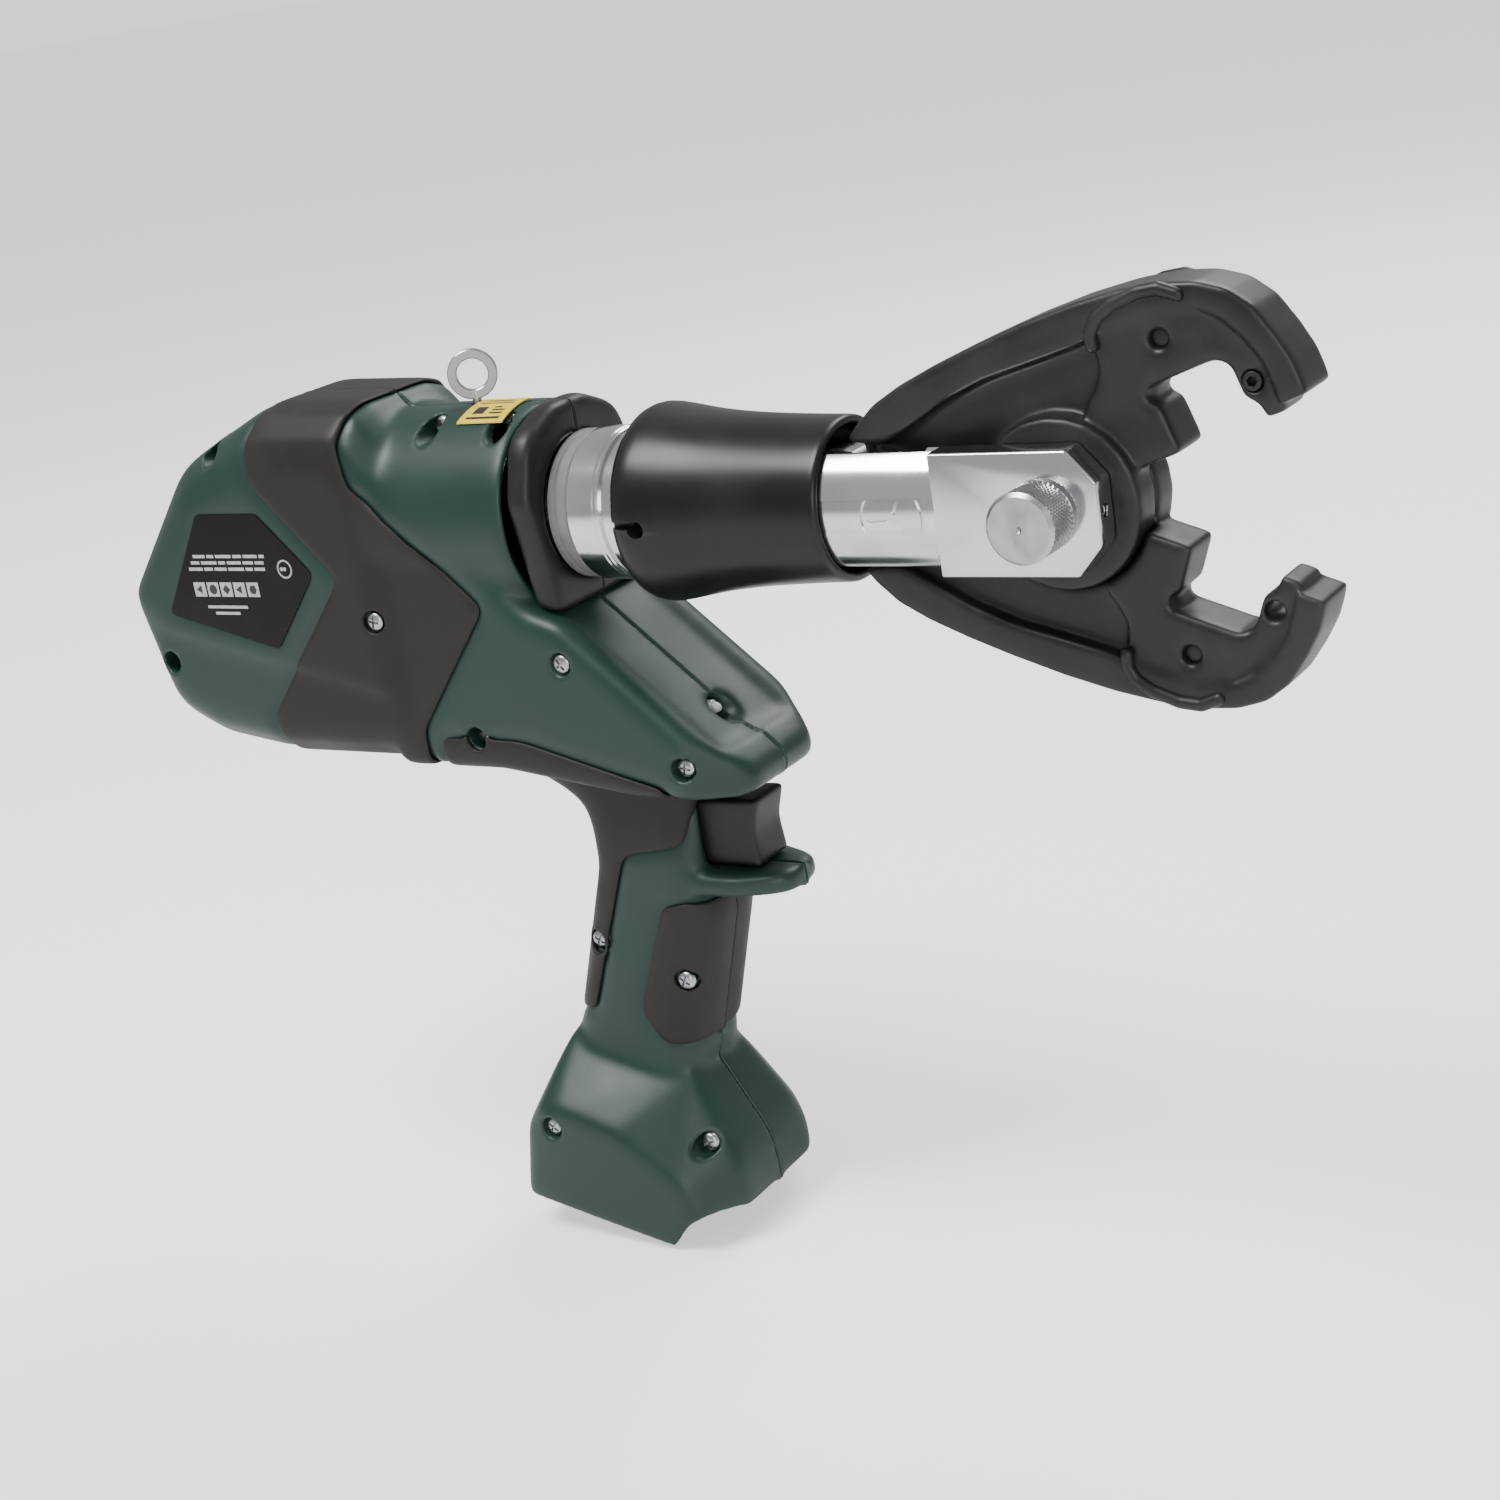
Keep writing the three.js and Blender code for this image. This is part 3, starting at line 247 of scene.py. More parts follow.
def makeFinish(name):
    look = finishes[name]
    material = bpy.data.materials.new(name)
    material.use_nodes = True
    tree = material.node_tree
    shader = tree.nodes["Principled BSDF"]
    where = tree.nodes.new("ShaderNodeTexCoord").outputs["Object"]
    grainScale, grainDepth, grainStrength = look["grain"]
    blotchScale, blotchColour, blotchAmount = look["blotch"]
    edgeWearAndHighlightColour, edgeWearAndHighlightAmount = look["edge"]
    blotch = noiseOf(tree, where, blotchScale, 6)
    fine = noiseOf(tree, where, grainScale)
    colour = mixColour(tree, rangeOf(tree, blotch, 0.42, 0.68, 0, blotchAmount), look["colour"], blotchColour)
    # Convex edges, found by pointiness, get the lighter edge colour: partly wear, partly a painted highlight
    # along the edges.
    edgeWearAndHighlight = tree.nodes.new("ShaderNodeNewGeometry").outputs["Pointiness"]
    edgeWearAndHighlight = rangeOf(tree, edgeWearAndHighlight, 0.52, 0.62, 0, edgeWearAndHighlightAmount)
    colour = mixColour(tree, edgeWearAndHighlight, colour, edgeWearAndHighlightColour)
    link(tree, colour, shader.inputs["Base Color"])
    shader.inputs["Metallic"].default_value = look.get("metal", 0.0)
    shader.inputs["Specular IOR Level"].default_value = look.get("gloss", 0.5)
    rough = look["rough"]
    link(tree, rangeOf(tree, blotch, 0.3, 0.7, rough * 0.86, rough * 1.16), shader.inputs["Roughness"])
    bump = tree.nodes.new("ShaderNodeBump")
    bump.inputs["Strength"].default_value = grainStrength
    bump.inputs["Distance"].default_value = grainDepth
    link(tree, fine, bump.inputs["Height"])
    link(tree, bump.outputs["Normal"], shader.inputs["Normal"])
    return material


makeStudio()
finish = {name: makeFinish(name) for name in finishes}
for name, node in nodes.items():
    node.data.materials.clear()
    node.data.materials.append(finish[slotOf[name]])
print("finishes ready")


# Shaping helpers

def meshOf(bm, name):
    mesh = bpy.data.meshes.new(name)
    bm.to_mesh(mesh)
    bm.free()
    return mesh


# Runs a list of (type, {property: value}) modifiers over a bmesh.
def throughModifiers(bm, *settings):
    holder = bpy.data.objects.new("work", meshOf(bm, "work"))
    bpy.context.scene.collection.objects.link(holder)
    for kind, values in settings:
        modifier = holder.modifiers.new(kind, kind)
        for key, value in values.items():
            setattr(modifier, key, value)
    result = bmesh.new()
    result.from_object(holder, bpy.context.evaluated_depsgraph_get())
    mesh = holder.data
    bpy.data.objects.remove(holder)
    bpy.data.meshes.remove(mesh)
    return result


# Joins other to bm, or cuts it away.
def combine(bm, other, operation):
    tool = bpy.data.objects.new("tool", meshOf(other, "tool"))
    bpy.context.scene.collection.objects.link(tool)
    result = throughModifiers(bm, ("BOOLEAN", {"operation": operation, "solver": "EXACT", "object": tool}))
    mesh = tool.data
    bpy.data.objects.remove(tool)
    bpy.data.meshes.remove(mesh)
    return result


def cutAway(bm, *tools):
    for tool in tools:
        bm = combine(bm, tool, "DIFFERENCE")
    return bm


def joinTo(bm, *others):
    for other in others:
        bm = combine(bm, other, "UNION")
    return bm


# Turns a profile of (x, radius) round the barrel's axis.
def lathe(profile, steps=96):
    bm = bmesh.new()
    points = [bm.verts.new((x, 0, radius)) for x, radius in profile]
    edges = [bm.edges.new(pair) for pair in zip(points, points[1:])]
    bmesh.ops.spin(bm, geom=points + edges, cent=(0, 0, 0), axis=(1, 0, 0), dvec=(0, 0, 0), angle=math.tau,
                   steps=steps, use_merge=True)
    bmesh.ops.remove_doubles(bm, verts=bm.verts, dist=0.001)
    bmesh.ops.recalc_face_normals(bm, faces=bm.faces)
    return bm


# A round bar along X or Y; at is its place across that axis.
def rodAlong(axis, start, end, radius, at=(0, 0), steps=48):
    bm = bmesh.new()
    bmesh.ops.create_cone(bm, cap_ends=True, segments=steps, radius1=radius, radius2=radius,
                          depth=end - start)
    turn = Matrix.Rotation(math.pi / 2, 4, "Y" if axis == "X" else "X")
    middle = (start + end) / 2
    centre = (middle, at[0], at[1]) if axis == "X" else (at[0], middle, at[1])
    bmesh.ops.transform(bm, matrix=Matrix.Translation(centre) @ turn, verts=bm.verts)
    return bm


def block(low, high):
    bm = bmesh.new()
    bmesh.ops.create_cube(bm, size=1)
    size = [b - a for a, b in zip(low, high)]
    bmesh.ops.scale(bm, vec=size, verts=bm.verts)
    bmesh.ops.translate(bm, vec=[(a + b) / 2 for a, b in zip(low, high)], verts=bm.verts)
    return bm


def bevel(bm, edges, offset, segments=2):
    bmesh.ops.bevel(bm, geom=list(edges), offset=offset, offset_type="OFFSET", segments=segments, profile=0.5,
                    affect="EDGES", material=-1, clamp_overlap=True)


# An outline in the XZ plane as a plate from y = low to y = high, its edges rounded.
def slabOf(outline, low, high, edgeRound, segments):
    bm = bmesh.new()
    face = bm.faces.new([bm.verts.new((x, low, z)) for x, z in outline])
    raised = bmesh.ops.extrude_face_region(bm, geom=[face])
    tops = [v for v in raised["geom"] if isinstance(v, bmesh.types.BMVert)]
    bmesh.ops.translate(bm, vec=(0, high - low, 0), verts=tops)
    bmesh.ops.recalc_face_normals(bm, faces=bm.faces)
    bevel(bm, bm.edges, edgeRound, segments)
    return bm


# Places a piece in the frame on its node's body, in place of that node.
def finished(name, bm, finishName, node, replaced=None, sharp=40):
    mesh = meshOf(bm, name)
    mesh.transform(place)
    mesh.shade_smooth()
    mesh.set_sharp_from_angle(angle=math.radians(sharp))
    mesh.materials.append(finish[finishName])
    piece = bpy.data.objects.new(name, mesh)
    bpy.context.scene.collection.objects.link(piece)
    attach(piece, bodyOf[node])
    for other in ([node] if replaced is None else replaced):
        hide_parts(other)
    return piece


# A CAD node's solid as one merged bmesh, in millimetres round the jaw pin.
def copyOf(node):
    bm = bmesh.new()
    bm.from_mesh(nodes[node].data)
    bmesh.ops.remove_doubles(bm, verts=bm.verts, dist=1e-6)
    bmesh.ops.transform(bm, matrix=unplace, verts=bm.verts)
    return bm


# Remeshes a solid finely and rolls its shallow facets into smooth rounds; edges over keepAngle stay.
def softened(bm, voxel, passes, limit, keepAngle=36, isFree=None, isHeld=None):
    bm = throughModifiers(bm, ("REMESH", {"mode": "VOXEL", "voxel_size": voxel, "adaptivity": 0.0}))
    keep = math.radians(keepAngle)
    held = {v for e in bm.edges if len(e.link_faces) == 2 and e.calc_face_angle() > keep for v in e.verts}
    layer = bm.verts.layers.deform.verify()
    count = 0
    for v in bm.verts:
        free = v not in held
        if isFree and isFree(v.co):
            free = True
        if isHeld and isHeld(v.co):
            free = False
        v[layer][0] = 1.0 if free else 0.0
        count += 1
    holder = bpy.data.objects.new("work", meshOf(bm, "work"))
    holder.vertex_groups.new(name="free")
    bpy.context.scene.collection.objects.link(holder)
    for iterations, group in ((passes, "free"), (2, "")):
        smooth = holder.modifiers.new("smooth", "SMOOTH")
        smooth.factor = 0.5
        smooth.iterations = iterations
        smooth.vertex_group = group
    if 2 * count > limit:
        thin = holder.modifiers.new("thin", "DECIMATE")
        thin.ratio = limit / (2 * count)
    result = bmesh.new()
    result.from_object(holder, bpy.context.evaluated_depsgraph_get())
    mesh = holder.data
    bpy.data.objects.remove(holder)
    bpy.data.meshes.remove(mesh)
    return result


# Casing halves and the soft skins on them
moulding = {"voxel": 0.8, "passes": 110, "limit": 190000, "partingGap": 0.7, "screwRing": 5.2}
fineMoulding = {"voxel": 0.5, "passes": 160, "limit": 90000}
screwNames = sorted(n for n in nodes if n.startswith("casing_screw"))
screwSpots = []
for name in screwNames:
    low, high = (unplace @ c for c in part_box(name))
    screwSpots.append(((low.x + high.x) / 2, low.y, (low.z + high.z) / 2))
footPlace = {"x": -184, "z": -222, "tilt": 11.5}
footTurn = Matrix.Rotation(math.radians(footPlace["tilt"]), 4, "Y")
intoFoot = (Matrix.Translation((footPlace["x"], 0, footPlace["z"])) @ footTurn).inverted()
softZones = {"footTop": 41, "footRim": -11, "prowFront": -118, "prowLow": -96, "prowHigh": -60}


def nearScrew(p):
    if p.y > 0:
        return False
    return any(math.hypot(p.x - x, p.z - z) < moulding["screwRing"] for x, _, z in screwSpots)


def heldOnCasing(p):
    return abs(p.y) < moulding["partingGap"] or nearScrew(p)


def freeOnCasing(p):
    q = intoFoot @ p
    onFoot = softZones["footRim"] < q.z < softZones["footTop"]
    onProw = p.x > softZones["prowFront"] and softZones["prowLow"] < p.z < softZones["prowHigh"]
    return onFoot or onProw


casingSkins = (
    ("band", "band_skin", "overmould"),
    ("backstrap", "backstrap_skin", "overmould"),
    ("grip_pad", "grip_pad_skin", "overmould"),
    ("nose_cover", "nose_guard", "black_plastic"),
)
for side in ("right", "left"):
    bm = softened(copyOf("housing_" + side), moulding["voxel"], moulding["passes"], moulding["limit"],
                  isFree=freeOnCasing, isHeld=heldOnCasing)
    finished("casing_" + side, bm, "casing", "housing_" + side, sharp=60)
    for name, made, finishName in casingSkins:
        bm = softened(copyOf(name + "_" + side), fineMoulding["voxel"], fineMoulding["passes"],
                      fineMoulding["limit"], isHeld=heldOnCasing)
        finished(made + "_" + side, bm, finishName, name + "_" + side, sharp=60)
    print("casing", side, "ready")

# Forged jaws: drawn closed round the upper jaw, then opened; the lower jaw is the same piece turned over
forging = {"voxel": 0.45, "passes": 110, "limit": 150000, "opening": 19.0, "ribRadius": 2.0, "ribY": 9.7,
           "ribVoxel": 0.25, "ribPasses": 12}
ribPath = [(28.2, 36.5), (29.2, 39.8), (32.6, 42.8), (38.5, 44.4), (46.5, 44.7), (52.5, 43.4), (57, 39.8)]
outerRim = {"bendX": 42, "bendZ": 8, "bendRadius": 34.5, "tipZ": 6, "backX": -36, "backZ": 43.5}


# The rounded back of a jaw, in the closed jaw's place
def onOuterRim(q):
    pastBend = math.hypot(q.x - outerRim["bendX"], q.z - outerRim["bendZ"]) > outerRim["bendRadius"]
    aroundTip = q.x > outerRim["bendX"] and q.z > outerRim["tipZ"] and pastBend
    onBack = outerRim["backX"] < q.x <= outerRim["bendX"] and q.z > outerRim["backZ"]
    return aroundTip or onBack


def jawTurn(jaw):
    turn = Matrix.Rotation(math.radians(-forging["opening"]), 4, "Y")
    return Matrix.Rotation(math.pi, 4, "X") @ turn if jaw == "lower_jaw" else turn


# A round-ended bar between two points.
def bar(start, end, radius, steps=16):
    bm = bmesh.new()
    along = end - start
    bmesh.ops.create_cone(bm, cap_ends=True, segments=steps, radius1=radius, radius2=radius,
                          depth=along.length)
    turn = along.to_track_quat("Z", "Y").to_matrix().to_4x4()
    bmesh.ops.transform(bm, matrix=Matrix.Translation((start + end) / 2) @ turn, verts=bm.verts)
    for spot in (start, end):
        bmesh.ops.create_uvsphere(bm, u_segments=steps, v_segments=steps // 2, radius=radius,
                                  matrix=Matrix.Translation(spot))
    return bm


# Puts another bmesh's faces into bm.
def addMesh(bm, other, matrix=None):
    mesh = meshOf(other, "part")
    if matrix:
        mesh.transform(matrix)
    bm.from_mesh(mesh)
    bpy.data.meshes.remove(mesh)


for jaw in ("upper_jaw", "lower_jaw"):
    closed = jawTurn(jaw).inverted()
    bm = softened(copyOf(jaw), forging["voxel"], forging["passes"], forging["limit"], keepAngle=34,
                  isFree=lambda p: onOuterRim(closed @ p))
    finished("forged_" + jaw, bm, "forged_steel", jaw, sharp=60)
    for faceName, y in (("right", -forging["ribY"]), ("left", forging["ribY"])):
        bm = bmesh.new()
        for (x1, z1), (x2, z2) in zip(ribPath, ribPath[1:]):
            rib = bar(Vector((x1, y, z1)), Vector((x2, y, z2)), forging["ribRadius"])
            addMesh(bm, rib, jawTurn(jaw))
        bm = softened(bm, forging["ribVoxel"], forging["ribPasses"], forging["limit"])
        finished(jaw + "_rib_" + faceName, bm, "forged_steel", jaw, replaced=[], sharp=60)
print("jaws ready")

# Small pins in the jaws
pins = {"dieX": 46, "dieZ": 31, "dieRadius": 2.5, "dieHalf": 6.4, "dieRound": 0.4,
        "tipX": 65.5, "tipZ": 11, "tipRadius": 2.7, "tipHalf": 7.6, "tipRound": 0.35,
        "socket": 1.55, "socketDepth": 2.4}


# The edges round a bar's flat ends
def rimsOf(bm):
    return [e for e in bm.edges if max(len(f.verts) for f in e.link_faces) > 4]


for jaw, node in (("upper_jaw", "upper_die_pin"), ("lower_jaw", "lower_die_pin")):
    bm = rodAlong("Y", -pins["dieHalf"], pins["dieHalf"], pins["dieRadius"], (pins["dieX"], pins["dieZ"]), 40)
    bevel(bm, rimsOf(bm), pins["dieRound"], 3)
    bmesh.ops.transform(bm, matrix=jawTurn(jaw), verts=bm.verts)
    finished("detent_" + node, bm, "forged_steel", node)
bm = rodAlong("Y", -pins["tipHalf"], pins["tipHalf"], pins["tipRadius"], (pins["tipX"], pins["tipZ"]), 40)
bevel(bm, rimsOf(bm), pins["tipRound"], 3)
for end in (-1, 1):
    low, high = sorted((end * (pins["tipHalf"] - pins["socketDepth"]), end * (pins["tipHalf"] + 1)))
    bm = cutAway(bm, rodAlong("Y", low, high, pins["socket"], (pins["tipX"], pins["tipZ"]), 6))
bmesh.ops.transform(bm, matrix=jawTurn("upper_jaw"), verts=bm.verts)
finished("socket_plug", bm, "forged_steel", "tip_plug")

# Trigger
triggerShape = {"voxel": 0.4, "passes": 80, "limit": 60000, "stemFront": -143}
bm = softened(copyOf("trigger"), triggerShape["voxel"], triggerShape["passes"], triggerShape["limit"],
              isFree=lambda p: p.x > triggerShape["stemFront"])
finished("trigger_lever", bm, "black_plastic", "trigger", sharp=60)

# Sleeve of the swivel head: a waisted black tube with a locking hole
sleeve = {"rear": -141, "holeX": -131, "holeZ": -1, "holeRadius": 2.7}
sleeveProfile = [(-141, 22.3), (-141, 26.2), (-140.7, 27.6), (-140, 28.9), (-138.9, 29.9), (-137.4, 30.5),
                 (-135.6, 30.8), (-133, 30.65), (-130, 30.2), (-126.5, 29.55), (-122, 28.7), (-117, 27.85),
                 (-111, 27.1), (-104, 26.4), (-97, 25.9), (-89, 25.45), (-81, 25.1), (-73.5, 24.85),
                 (-72.2, 24.75), (-71.4, 24.4), (-71, 23.8), (-71, 22.9), (-71.5, 22.3), (-141, 22.3)]
bm = lathe(sleeveProfile, 160)
hole = rodAlong("Y", -40, -20, sleeve["holeRadius"], (sleeve["holeX"], sleeve["holeZ"]))
notch = block((sleeve["rear"] - 1, -40, sleeve["holeZ"] + 0.2),
              (sleeve["holeX"], -26.5, sleeve["holeZ"] + 2.4))
bm = cutAway(bm, hole, notch)
finished("waisted_sleeve", bm, "black_metal", "sleeve", sharp=35)

# Barrel, with its polished collar and the grey wiper ring behind it
low, high = (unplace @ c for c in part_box("cylinder"))
barrelProfile = [(low.x, 0), (low.x, 21), (low.x + 1, 22), (-160.5, 22), (-160.5, 23.4), (-159.9, 24),
                 (-150.6, 24),
                 (-150.2, 23.6), (-149.9, 23.6), (-149.6, 24), (-149.0, 24), (-148.5, 23.5), (-148.5, 22.6),
                 (-147.2, 22.6), (-147.2, 23.1), (-146.8, 23.5), (-141.9, 23.5), (-141.4, 23.0),
                 (-141.3, 21.5),
                 (-128.4, 21.5), (-128, 21.1), (-128, 16.8), (-132.8, 16.8), (-132.8, 18.6), (-135.2, 18.6),
                 (-135.2, 16.8), (-210, 16.8), (-210, 0)]
finished("polished_barrel", lathe(barrelProfile, 128), "chrome", "cylinder", sharp=30)
sealLow, sealHigh = (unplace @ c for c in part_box("cylinder_seal"))
sealProfile = [(sealLow.x, 22.25), (sealLow.x, 23), (sealLow.x + 0.4, 23.35), (sealLow.x + 2.2, 23.35),
               (sealLow.x + 2.7, 22.8), (sealLow.x + 3.2, 22.8), (sealLow.x + 3.7, 23.35),
               (sealHigh.x - 0.5, 23.35),
               (sealHigh.x, 22.9), (sealHigh.x, 22.25), (sealLow.x, 22.25)]
finished("wiper_ring", lathe(sealProfile, 128), "seal_rubber", "cylinder_seal", sharp=30)

# Fork: a turned barrel end that runs into two flat arms
forkSize = {"half": 22, "height": 18, "slot": 13, "slotRear": -97, "front": 17, "pin": 8.1,
            "lockY": -17.5, "lockHole": 1.9, "ringX": -47.5, "ringZ": -0.5, "ringRadius": 10.2,
            "ringWidth": 0.8, "ringDepth": 0.55}
forkProfile = [(-148, 9.15), (-148, 15.9), (-147.4, 16.5), (-135.2, 16.5), (-135.2, 15.3), (-132.8, 15.3),
               (-132.8, 16.5), (-127.7, 16.5), (-127.7, 21.3), (-127, 22), (-36.5, 22), (-35.2, 21.8),
               (-34.2, 21.2), (-33.6, 20.4), (-33, 19.5), (-33, 9.15), (-148, 9.15)]
bm = lathe(forkProfile, 128)
h = forkSize["height"]
for z in (1, -1):
    flat = block((-77, -30, min(z * (h - 1.2), z * 40)), (0, 30, max(z * (h - 1.2), z * 40)))
    bm = cutAway(bm, flat)
half, front = forkSize["half"], forkSize["front"]
arms = slabOf([(-38, h), (9, h), (front, h - 9), (front, 9 - h), (9, -h), (-38, -h)], -half, half, 1.0, 4)
waist = rodAlong("X", -60, -33.4, 21.99, (0, 0), 128)
shoulder = cutAway(block((-60, -30, -30), (-33.4, 30, 30)), waist)
bm = joinTo(bm, cutAway(arms, shoulder))
slot = block((forkSize["slotRear"], -forkSize["slot"], -40), (front + 1, forkSize["slot"], 40))
pinHole = rodAlong("Y", -40, 40, forkSize["pin"], (0, 0), 64)
lockHole = rodAlong("X", 11, front + 1, forkSize["lockHole"], (forkSize["lockY"], 0), 24)
bm = cutAway(bm, slot, pinHole, lockHole)
outerRadius = forkSize["ringRadius"]
innerRadius = outerRadius - forkSize["ringWidth"]
emblem = lathe([(-0.5, innerRadius), (-0.5, outerRadius), (3, outerRadius), (3, innerRadius),
                (-0.5, innerRadius)], 64)
emblemPlace = Matrix.Translation((forkSize["ringX"], -half + forkSize["ringDepth"] - 3, forkSize["ringZ"]))
bmesh.ops.transform(emblem, matrix=emblemPlace @ Matrix.Rotation(math.pi / 2, 4, "Z"), verts=emblem.verts)
bm = cutAway(bm, emblem)
for turn in (25, 145, 265):
    tick = block((-0.5, -1, 1.5), (0.5, 3, 8.0))
    tickPlace = emblemPlace @ Matrix.Rotation(math.radians(turn), 4, "Y")
    bmesh.ops.transform(tick, matrix=tickPlace, verts=tick.verts)
    bm = cutAway(bm, tick)
finished("plated_fork", bm, "chrome", "fork", sharp=30)

# Jaw pin with its knurled knob
knob = {"radius": 10.3, "inner": -22.3, "outer": -37, "teeth": 84, "rows": 15, "depth": 0.42, "chamfer": 1.1}
bm = bmesh.new()
rows = []
reach = knob["inner"] - knob["outer"] - 2 * knob["chamfer"]
for row in range(knob["rows"] + 1):
    y = knob["outer"] + knob["chamfer"] + reach * row / knob["rows"]
    ringPlace = Matrix.Translation((0, y, 0)) @ Matrix.Rotation(math.pi / 2, 4, "X")
    made = bmesh.ops.create_circle(bm, segments=knob["teeth"], radius=knob["radius"], matrix=ringPlace)
    for i, v in enumerate(made["verts"]):
        inside = (i + row) % 2 and 0 < row < knob["rows"]
        if inside:
            v.co.x *= 1 - knob["depth"] / knob["radius"]
            v.co.z *= 1 - knob["depth"] / knob["radius"]
    ring = list({e for v in made["verts"] for e in v.link_edges})
    rows.append(ring)
for ring, after in zip(rows, rows[1:]):
    bmesh.ops.bridge_loops(bm, edges=ring + after)
bmesh.ops.triangulate(bm, faces=bm.faces)
for ring, y in ((rows[0], knob["outer"]), (rows[-1], knob["inner"])):
    cap = bmesh.ops.contextual_create(bm, geom=ring)["faces"]
    bmesh.ops.inset_region(bm, faces=cap, thickness=knob["chamfer"], depth=knob["chamfer"])
    for f in cap:
        for v in f.verts:
            v.co.y = y
bmesh.ops.recalc_face_normals(bm, faces=bm.faces)
dimple = bmesh.new()
dimplePlace = Matrix.Translation((0, knob["outer"] + 0.3, 0)) @ Matrix.Rotation(-math.pi / 2, 4, "X")
bmesh.ops.create_cone(dimple, cap_ends=True, segments=32, radius1=1.3, radius2=0.05, depth=1.2,
                      matrix=dimplePlace)
shaft = lathe([(-22, 0), (-22, 7.2), (-21.2, 8), (22.6, 8), (22.6, 0)], 64)
bmesh.ops.transform(shaft, matrix=Matrix.Rotation(math.pi / 2, 4, "Z"), verts=shaft.verts)
bm = joinTo(cutAway(bm, dimple), shaft)
finished("knurled_jaw_pin", bm, "zinc", "jaw_pin", sharp=28)
bm = rodAlong("X", 12.5, 16.2, 1.4, (forkSize["lockY"], 0), 24)
bm = cutAway(bm, rodAlong("X", 14.4, 17, 0.75, (forkSize["lockY"], 0), 6))
finished("set_screw", bm, "steel", "pin_lock_screw", sharp=30)
print("head ready")

# Casing screws: a low dome with a cross recess
screwSize = {"shank": 1.75, "end": 7.0, "crossHalf": 0.42, "crossReach": 2.1, "crossDepth": 1.3}
headProfile = [(0, 0), (0.02, 0.9), (0.12, 1.7), (0.4, 2.5), (0.85, 3.05), (1.35, 3.25), (2.15, 3.25),
               (2.15, screwSize["shank"])]
for name, (x, y, z) in zip(screwNames, screwSpots):
    length = screwSize["end"] - y
    bm = lathe(headProfile + [(length, screwSize["shank"]), (length, 0)], 32)
    slotLow = (-1, -screwSize["crossHalf"], -screwSize["crossReach"])
    slotHigh = (screwSize["crossDepth"], screwSize["crossHalf"], screwSize["crossReach"])
    cross = block(slotLow, slotHigh)
    addMesh(cross, block(slotLow, slotHigh), Matrix.Rotation(math.pi / 2, 4, "X"))
    cross = throughModifiers(cross, ("REMESH", {"mode": "VOXEL", "voxel_size": 0.12}))
    thin = throughModifiers(cross, ("DECIMATE", {"ratio": 0.06}))
    bm = cutAway(bm, thin)
    spin = Matrix.Rotation(math.radians(17 + 41 * (x + z)), 4, "Y")
    upright = Matrix.Translation((x, y, z)) @ spin @ Matrix.Rotation(math.pi / 2, 4, "Z")
    bmesh.ops.transform(bm, matrix=upright, verts=bm.verts)
    finished("cross_head_" + name[-2:], bm, "zinc", name, sharp=32)

# Work light in the well of the prow: a short barrel with a clear dome
lampLow, lampHigh = (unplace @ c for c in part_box("work_light"))
lamp = {"radius": 2.5, "dome": 1.9, "domeLength": 2.8, "chamfer": 0.3, "steps": 8}
lampZ = (lampLow.z + lampHigh.z) / 2
domeStart = lampHigh.x - lamp["domeLength"]
lampProfile = [(lampLow.x, 0), (lampLow.x, lamp["radius"]), (domeStart - 0.4, lamp["radius"]),
               (domeStart, lamp["radius"] - lamp["chamfer"]), (domeStart, lamp["dome"])]
for step in range(1, lamp["steps"]):
    angle = math.pi / 2 * step / lamp["steps"]
    lampProfile.append((domeStart + lamp["domeLength"] * math.sin(angle), lamp["dome"] * math.cos(angle)))
lampProfile.append((lampHigh.x, 0))
bm = lathe(lampProfile, 48)
bmesh.ops.translate(bm, vec=(0, 0, lampZ), verts=bm.verts)
finished("lamp_dome", bm, "lamp_lens", "work_light", sharp=30)

# Hanging ring: a stamped eye on a swivelling shank
ringLow, ringHigh = (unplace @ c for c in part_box("hanging_ring"))
ringX, ringTop = (ringLow.x + ringHigh.x) / 2, ringHigh.z
eye = {"outer": 8.0, "shank": 1.45, "shankDown": 14.6, "foot": 2.1, "footHeight": 2.6, "turn": 34}
eyeProfile = [(-1.1, 5.0), (-1.4, 5.3), (-1.4, 7.7), (-1.1, 8.0), (1.1, 8.0), (1.4, 7.7), (1.4, 5.3),
              (1.1, 5.0), (-1.1, 5.0)]
bm = lathe(eyeProfile, 96)
upright = Matrix.Translation((0, 0, ringTop - eye["outer"])) @ Matrix.Rotation(math.pi / 2, 4, "Z")
bmesh.ops.transform(bm, matrix=upright, verts=bm.verts)
footTop, shankTop = ringLow.z + eye["footHeight"], ringTop - eye["shankDown"]
shank = lathe([(ringLow.z, 0), (ringLow.z, eye["foot"]), (footTop, eye["foot"]), (footTop, eye["shank"]),
               (shankTop, eye["shank"]), (shankTop, 0)], 32)
bmesh.ops.transform(shank, matrix=Matrix.Rotation(-math.pi / 2, 4, "Y"), verts=shank.verts)
bm = joinTo(bm, shank)
turned = Matrix.Translation((ringX, 0, 0)) @ Matrix.Rotation(math.radians(eye["turn"]), 4, "Z")
bmesh.ops.transform(bm, matrix=turned, verts=bm.verts)
finished("hanging_eye", bm, "steel", "hanging_ring", sharp=30)

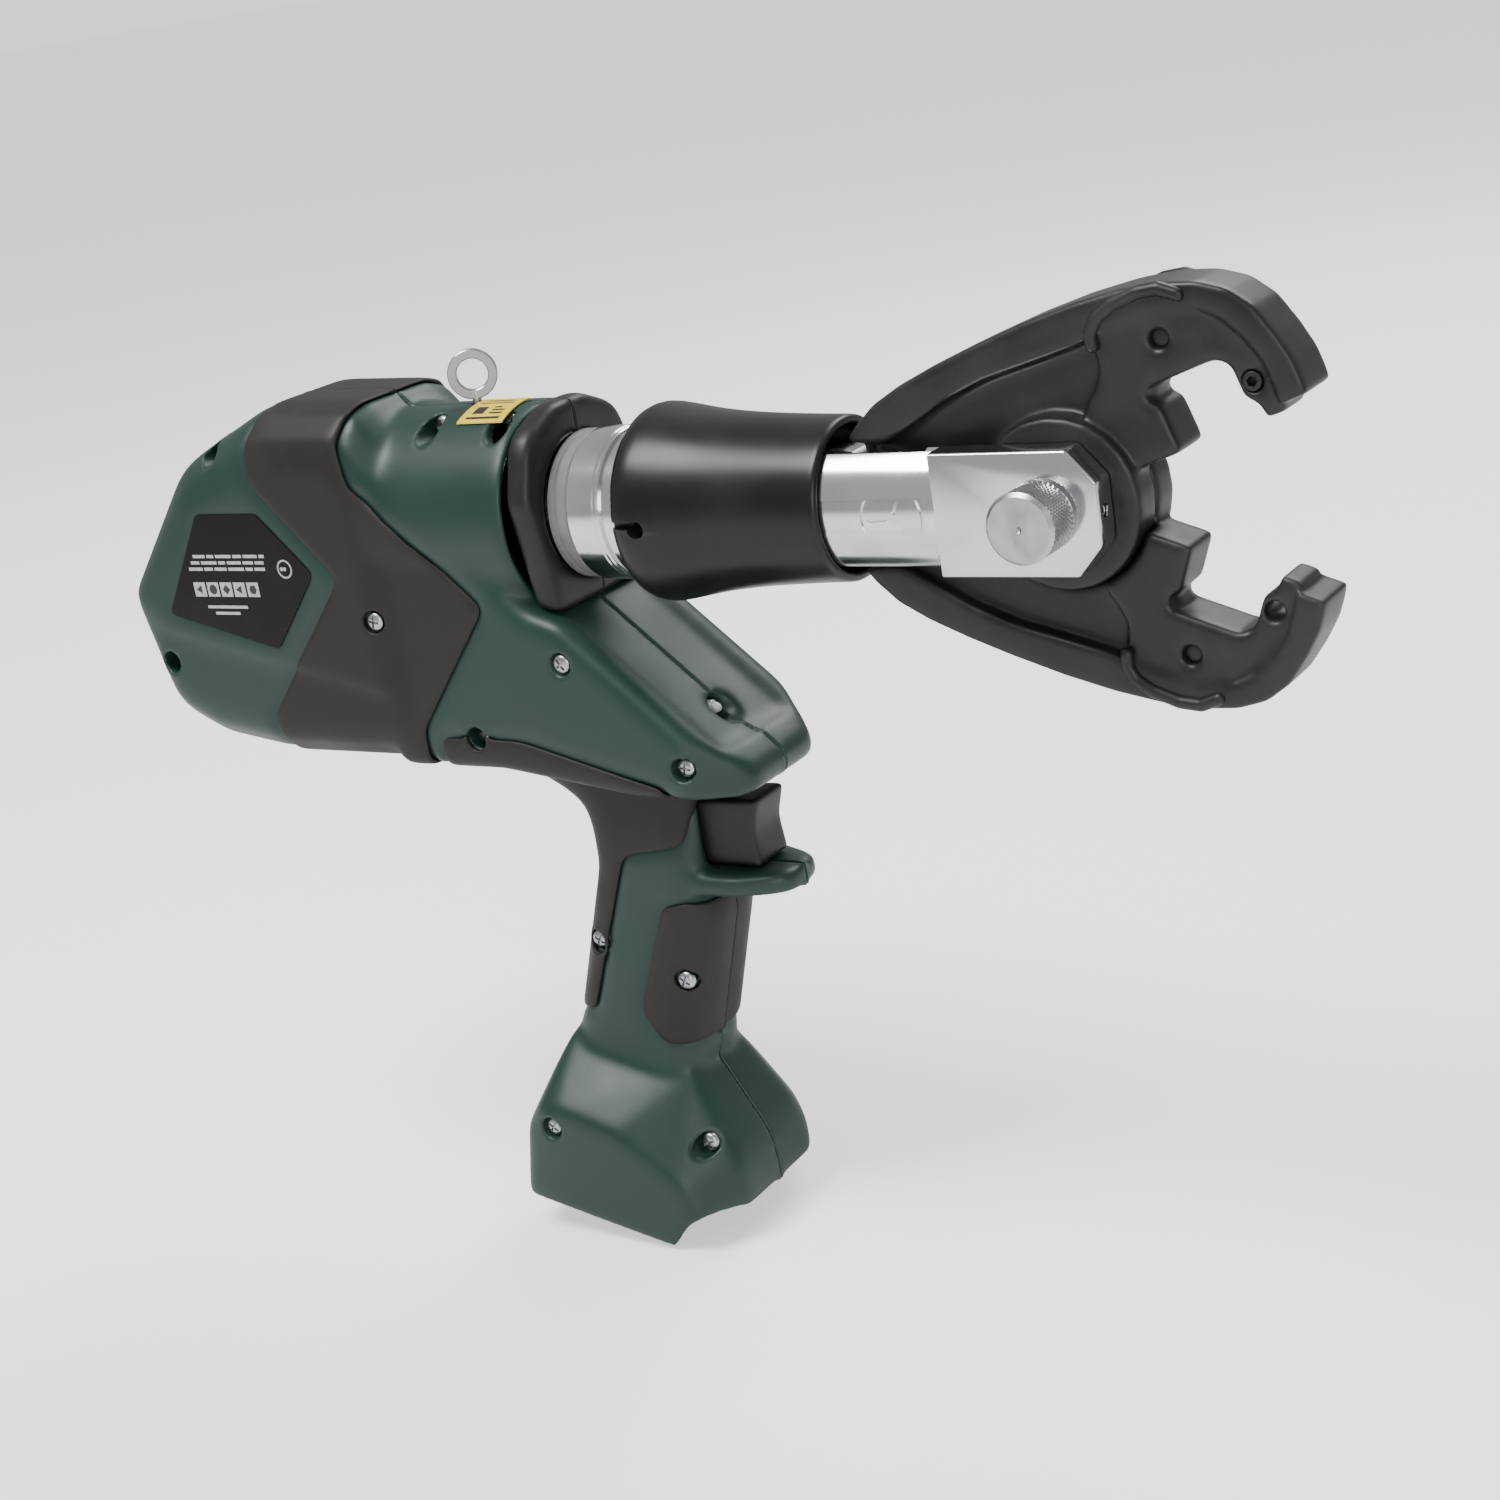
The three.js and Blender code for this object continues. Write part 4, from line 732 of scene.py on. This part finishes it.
# Rating plate: gloss film with plain bars, blocks and a ring, no lettering
plate = {"y": -33.92, "lift": 0.04, "barHalf": 0.55, "wordScale": 0.78, "wordGap": 0.8, "rowX": -311.0,
         "rowShift": -1.5, "squareX": -313.5, "squarePitch": 6.0, "squareSize": 5.2, "squareLow": -21.6,
         "squareHigh": -16.6, "glyphZ": -19.1, "glyphRadius": 1.7, "ringX": -271, "ringZ": -12}
wordRows = ((-7.6, (7, 4, 9, 5, 8, 3)), (-9.8, (5, 9, 4, 8, 6, 5)), (-12.0, (8, 5, 7, 9, 4, 6)))
lowerBars = ((-25.2, -309, -291), (-27.4, -306, -295))
glyphSides = (3, 24, 4, 3, 6)
face = plate["y"] - plate["lift"]
squares = [plate["squareX"] + plate["squarePitch"] * i for i in range(len(glyphSides))]
bm = copyOf("rating_label")
bmesh.ops.dissolve_limit(bm, angle_limit=math.radians(1), verts=bm.verts, edges=bm.edges)
finished("rating_plate", bm, "rating_label", "rating_label", sharp=30)
bars = []
for row, (z, words) in enumerate(wordRows):
    x = plate["rowX"] + plate["rowShift"] * row
    for word in words:
        end = x + plate["wordScale"] * word
        bars.append((x, end, z - plate["barHalf"], z + plate["barHalf"]))
        x = end + plate["wordGap"]
bars += [(x, x + plate["squareSize"], plate["squareLow"], plate["squareHigh"]) for x in squares]
bars += [(x1, x2, z - 0.5, z + 0.5) for z, x1, x2 in lowerBars]
bm = bmesh.new()
for x1, x2, z1, z2 in bars:
    addMesh(bm, block((x1, face, z1), (x2, plate["y"] + 0.1, z2)))
ringMark = lathe([(0, 2.6), (0, 3.2), (0.14, 3.2), (0.14, 2.6), (0, 2.6)], 48)
for offset in (0.0, 1.3):
    dot = lathe([(0, 0.0), (0, 0.7), (0.14, 0.7), (0.14, 0.0)], 24)
    addMesh(ringMark, dot, Matrix.Translation((0, offset, 0)))
ringPlace = Matrix.Translation((plate["ringX"], face, plate["ringZ"])) @ Matrix.Rotation(math.pi / 2, 4, "Z")
addMesh(bm, ringMark, ringPlace)
finished("rating_print", bm, "print", "rating_label", replaced=[], sharp=30)
bm = bmesh.new()
facing = Matrix.Rotation(math.pi / 2, 4, "X") @ Matrix.Rotation(math.pi / 2, 4, "Z")
for x, sides in zip(squares, glyphSides):
    glyph = bmesh.new()
    bmesh.ops.create_circle(glyph, cap_ends=True, segments=sides, radius=plate["glyphRadius"], matrix=facing)
    grown = bmesh.ops.extrude_face_region(glyph, geom=glyph.faces[:])
    backs = [v for v in grown["geom"] if isinstance(v, bmesh.types.BMVert)]
    bmesh.ops.translate(glyph, vec=(0, 0.05, 0), verts=backs)
    bmesh.ops.recalc_face_normals(glyph, faces=glyph.faces)
    addMesh(bm, glyph, Matrix.Translation((x + plate["squareSize"] / 2, face - 0.03, plate["glyphZ"])))
finished("rating_glyphs", bm, "ink", "rating_label", replaced=[], sharp=30)

# Yellow sticker on the barrel, with a plain block and bars
sticker = {"inner": 33.75, "radius": 34.1, "rear": -203, "front": -185, "right": -15.5, "left": 0.7,
           "printInner": 34.0, "print": 34.16, "margin": 2.5}


# A thin band round the barrel
def bandOf(rear, front, inner, outer):
    return lathe([(rear, inner), (rear, outer), (front, outer), (front, inner), (rear, inner)], 240)


bm = bandOf(sticker["rear"], sticker["front"], sticker["inner"], sticker["radius"])
for y1, y2 in ((-60, sticker["right"]), (sticker["left"], 60)):
    bm = cutAway(bm, block((-210, y1, -60), (-180, y2, 60)))
bm = cutAway(bm, block((-210, -60, -60), (-180, 60, 0)))
finished("yellow_sticker", bm, "warning_label", "warning_label", sharp=30)
bm = bandOf(sticker["rear"] + sticker["margin"], sticker["front"] - sticker["margin"], sticker["printInner"],
            sticker["print"])
marks = bmesh.new()
markBoxes = (
    (-14, -13, -201, -187), (-11.4, -7.2, -199.5, -195.2), (-11.4, -10.6, -193, -188),
    (-9.6, -8.8, -193, -188), (-7.8, -7.0, -193, -190), (-4.5, -3.9, -201, -187), (-2.4, -1.6, -199, -189),
)
for y1, y2, x1, x2 in markBoxes:
    addMesh(marks, block((x1, y1, 20), (x2, y2, 60)))
bm = combine(bm, marks, "INTERSECT")
finished("sticker_marks", bm, "ink", "warning_label", replaced=[], sharp=30)
print("labels ready")
